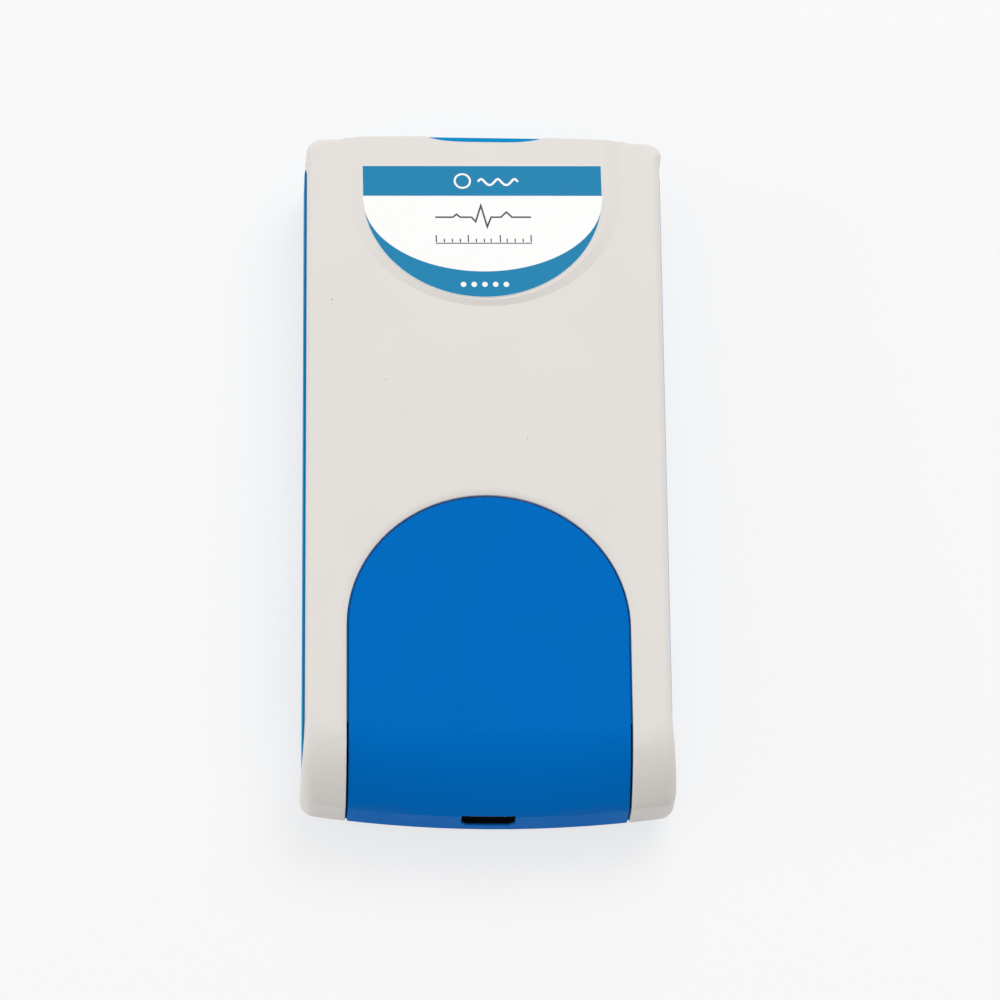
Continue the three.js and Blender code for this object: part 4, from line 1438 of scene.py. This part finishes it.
    def pins(self) -> None:
        """Build the pin strip: notched black base and pointed gold pins."""
        box = Extent.of("programming_pins")
        piece = Piece("programming_pin_strip", "black_plastic")
        width, tall = 0.64, box.size.z - self.pin_base
        for along in spaced(self.pin_count, self.pin_pitch):
            seat = box.seat(box.low.z) @ at(0, along, 0)
            outline = rounded_outline(box.size.x, self.pin_pitch - 0.02, 0.55, 1)
            piece.add(plate_shape(outline, self.pin_base, 0.05), BLACK_PLASTIC, seat)
            pin = block_shape(width, width, tall)
            rim = [vert for vert in pin.verts if vert.co.z > tall / 2]
            top = [face for face in pin.faces if face.normal.z > 0.9]
            bmesh.ops.inset_region(pin, faces=top, thickness=0.18)
            bmesh.ops.translate(pin, verts=rim, vec=(0, 0, -0.35))
            piece.add(pin, GOLD, seat @ at(0, 0, self.pin_base))
        piece.place("programming_pins")

    def shield(self) -> None:
        """Build the shield can: rounded lid and pressed dimples."""
        box = Extent.of("shield_can")
        piece = Piece("shield_can_lid", "tinned_steel")
        piece.add(refined_shape("shield_can", 0.3, 3), BRUSHED_TIN)
        columns, rows = self.dimples
        dish = [(0, 0.0), (0.62, 0.0), (0.62, 0.03), (0.5, 0.045), (0.0, 0.02)]
        for across in spaced(columns, box.size.x / columns):
            for along in spaced(rows, box.size.y / rows):
                piece.add(turned_shape(dish, 20), TIN, box.seat(box.high.z - 0.045) @ at(across, along, 0))
        piece.place("shield_can", weighted=True)


def finish_amplifier() -> None:
    """Give the amplifier chip under the shield, which is kept as its packed block, its finish."""
    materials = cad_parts["input_amplifier"].data.materials
    materials.clear()
    materials.append(cabinet.get(CHIP_RESIN))


@dataclass(frozen=True)
class Lamp:
    """A soft square lamp that looks at the object.

    Attributes:
        name: Name of the lamp.
        place: Its place, in metres.
        size: Its width, in metres.
        share: Share of the plain light level that it adds on a level surface.
    """

    name: str
    place: Point
    size: float
    share: float

    def hang(self) -> None:
        """Hang the lamp."""
        data = bpy.data.lights.new(self.name, "AREA")
        data.shape = "SQUARE"
        data.size = self.size
        towards = Vector(self.place)
        data.energy = self.share * math.pi ** 2 * towards.length_squared / towards.normalized().z
        made = bpy.data.objects.new(self.name, data)
        made.location = self.place
        made.rotation_euler = towards.to_track_quat("Z", "Y").to_euler()
        bpy.context.scene.collection.objects.link(made)


@dataclass
class Studio:
    """Plain pale floor, soft lamps and the camera of the photograph.

    Attributes:
        floor_half: Half of the floor's width, in metres.
        floor_tone: Colour of the floor.
        sky: Strength of the even light from all round.
        backdrop: Brightness of what the camera sees behind the floor.
        shadow_share: Share of the floor's shadow that the camera sees.
        lamps: The soft lamps.
        camera_place: Place of the camera, in millimetres.
        azimuth: The camera's bearing, in degrees.
        elevation: The camera's height above the horizon, in degrees.
        roll: The camera's roll, in degrees.
        focal: Focal length in pixels of a frame of 1000 pixels.
        frame_width: Width of the picture in pixels.
        off_centre: How far the lens's axis lies right of and below the picture's middle, in pixels.
        sensor: Width of the camera's sensor, in millimetres.
        clip: Nearest and farthest distance that the camera sees, in metres.
    """

    floor_half: float = 6.0
    floor_tone: Colour = screen_colour(250, 250, 250)
    sky: float = 0.5
    backdrop: float = 0.947
    shadow_share: float = 0.24
    lamps: tuple[Lamp, ...] = (
        Lamp("key_lamp", (0.35, 0.75, 1.15), 1.0, 0.43), Lamp("left_lamp", (-1.3, -0.1, 0.4), 0.8, 0.08),
    )
    camera_place: Point = (-39.65, -339.086, 783.73)
    azimuth: float = -9.0
    elevation: float = 66.071
    roll: float = 8.852
    focal: float = 5700.0
    frame_width: float = 1000.0
    off_centre: Flat = (80.0, -20.0)
    sensor: float = 36.0
    clip: Flat = (0.01, 20.0)

    def build(self) -> None:
        """Build the floor, world, lamps and camera."""
        self.floor()
        self.world()
        for lamp in self.lamps:
            lamp.hang()
        self.camera()

    def floor(self) -> None:
        """Lay the floor that the feet stand on."""
        work = bmesh.new()
        bmesh.ops.create_grid(work, x_segments=1, y_segments=1, size=self.floor_half)
        mesh = bpy.data.meshes.new("floor")
        work.to_mesh(mesh)
        work.free()
        surface = Surface("floor_paper")
        surface.shader.inputs["Base Color"].default_value = self.floor_tone
        surface.shader.inputs["Roughness"].default_value = 0.9
        surface.shader.inputs["Specular IOR Level"].default_value = 0.0
        even = surface.node("ShaderNodeEmission", {"Color": self.floor_tone})
        seen = surface.node("ShaderNodeLightPath").outputs["Is Camera Ray"]
        share = surface.node("ShaderNodeMath", {0: seen, 1: 1 - self.shadow_share}, operation="MULTIPLY")
        inputs = {0: share.outputs[0], 1: surface.shader.outputs[0], 2: even.outputs[0]}
        mix = surface.node("ShaderNodeMixShader", inputs)
        surface.feed(surface.tree.nodes["Material Output"].inputs["Surface"], mix.outputs[0])
        mesh.materials.append(surface.material)
        made = bpy.data.objects.new("floor", mesh)
        bpy.context.scene.collection.objects.link(made)

    def world(self) -> None:
        """Light the scene evenly and show a pale backdrop to the camera."""
        world = bpy.data.worlds.new("studio")
        world.use_nodes = True
        bpy.context.scene.world = world
        tree = world.node_tree
        background = tree.nodes["Background"]
        background.inputs["Color"].default_value = (1.0, 1.0, 1.0, 1.0)
        share = tree.nodes.new("ShaderNodeLightPath").outputs["Is Camera Ray"]
        strength = tree.nodes.new("ShaderNodeMapRange")
        tree.links.new(share, strength.inputs[0])
        strength.inputs[3].default_value = self.sky
        strength.inputs[4].default_value = self.backdrop
        tree.links.new(strength.outputs[0], background.inputs["Strength"])

    def camera(self) -> None:
        """Set up the camera where the photograph was taken from."""
        turn, tilt, roll = (math.radians(angle) for angle in (self.azimuth, self.elevation, self.roll))
        back = Vector((math.sin(turn) * math.cos(tilt), -math.cos(turn) * math.cos(tilt), math.sin(tilt)))
        level = Vector((math.cos(turn), math.sin(turn), 0))
        rise = back.cross(level)
        right = level * math.cos(roll) + rise * math.sin(roll)
        up = rise * math.cos(roll) - level * math.sin(roll)
        data = bpy.data.cameras.new("camera")
        data.sensor_width = self.sensor
        data.lens = self.focal / self.frame_width * self.sensor
        data.shift_x = -self.off_centre[0] / self.frame_width
        data.shift_y = self.off_centre[1] / self.frame_width
        data.clip_start, data.clip_end = self.clip
        made = bpy.data.objects.new("camera", data)
        place = Vector(self.camera_place) * MILLIMETRE
        made.matrix_world = Matrix.Translation(place) @ Matrix((right, up, back)).transposed().to_4x4()
        bpy.context.scene.collection.objects.link(made)
        bpy.context.scene.camera = made


@dataclass
class BoardChips:
    """The chips on the board.

    Attributes:
        chips: Each chip with its node, sides, connections per side, pitch, width and rounding.
    """

    chips: tuple[Chip, ...] = (
        LeadedChip("microcontroller", LeadSides.ALL_FOUR, 10, 0.62, 0.24, 0.1, reach=0.95),
        LeadedChip("surge_protector", LeadSides.NEAR_AND_FAR, 3, 0.95, 0.36, dimple=0.18, reach=0.6),
        LeadedChip("isolated_converter", LeadSides.NEAR_AND_FAR, 9, 1.27, 0.42, 0.22, reach=1.3, skin=0.22),
        LeadedChip("digital_isolator", LeadSides.LEFT_AND_RIGHT, 8, 1.2, 0.4, 0.16, reach=1.2, skin=0.2),
        LeadedChip("signal_converter_chip", LeadSides.LEFT_AND_RIGHT, 8, 0.6, 0.24, 0.1, reach=0.9),
        PadChip("usb_bridge_chip", LeadSides.ALL_FOUR, 7, 0.6, 0.26, 0.06, dimple=0.22, inset=0.1),
    )

    def build(self, board_top: float) -> None:
        """Build every chip on the board's upper face."""
        for chip in self.chips:
            chip.build(board_top)


def main() -> None:
    """Build the object and the studio round it."""
    logging.basicConfig(level=logging.INFO, format="%(name)s: %(message)s")
    bpy.context.scene.view_settings.view_transform = "Standard"
    Studio().build()
    CaseMouldings().build()
    PrintedLabel().build()
    Fittings().build()
    board_top = MainBoard().build()
    BoardChips().build(board_top)
    PortShadeLiner().build()
    UsbSocket().build(board_top)
    ElectrodeJack().build(board_top)
    PowerParts().build(board_top)
    finish_amplifier()


if __name__ == "__main__":
    main()
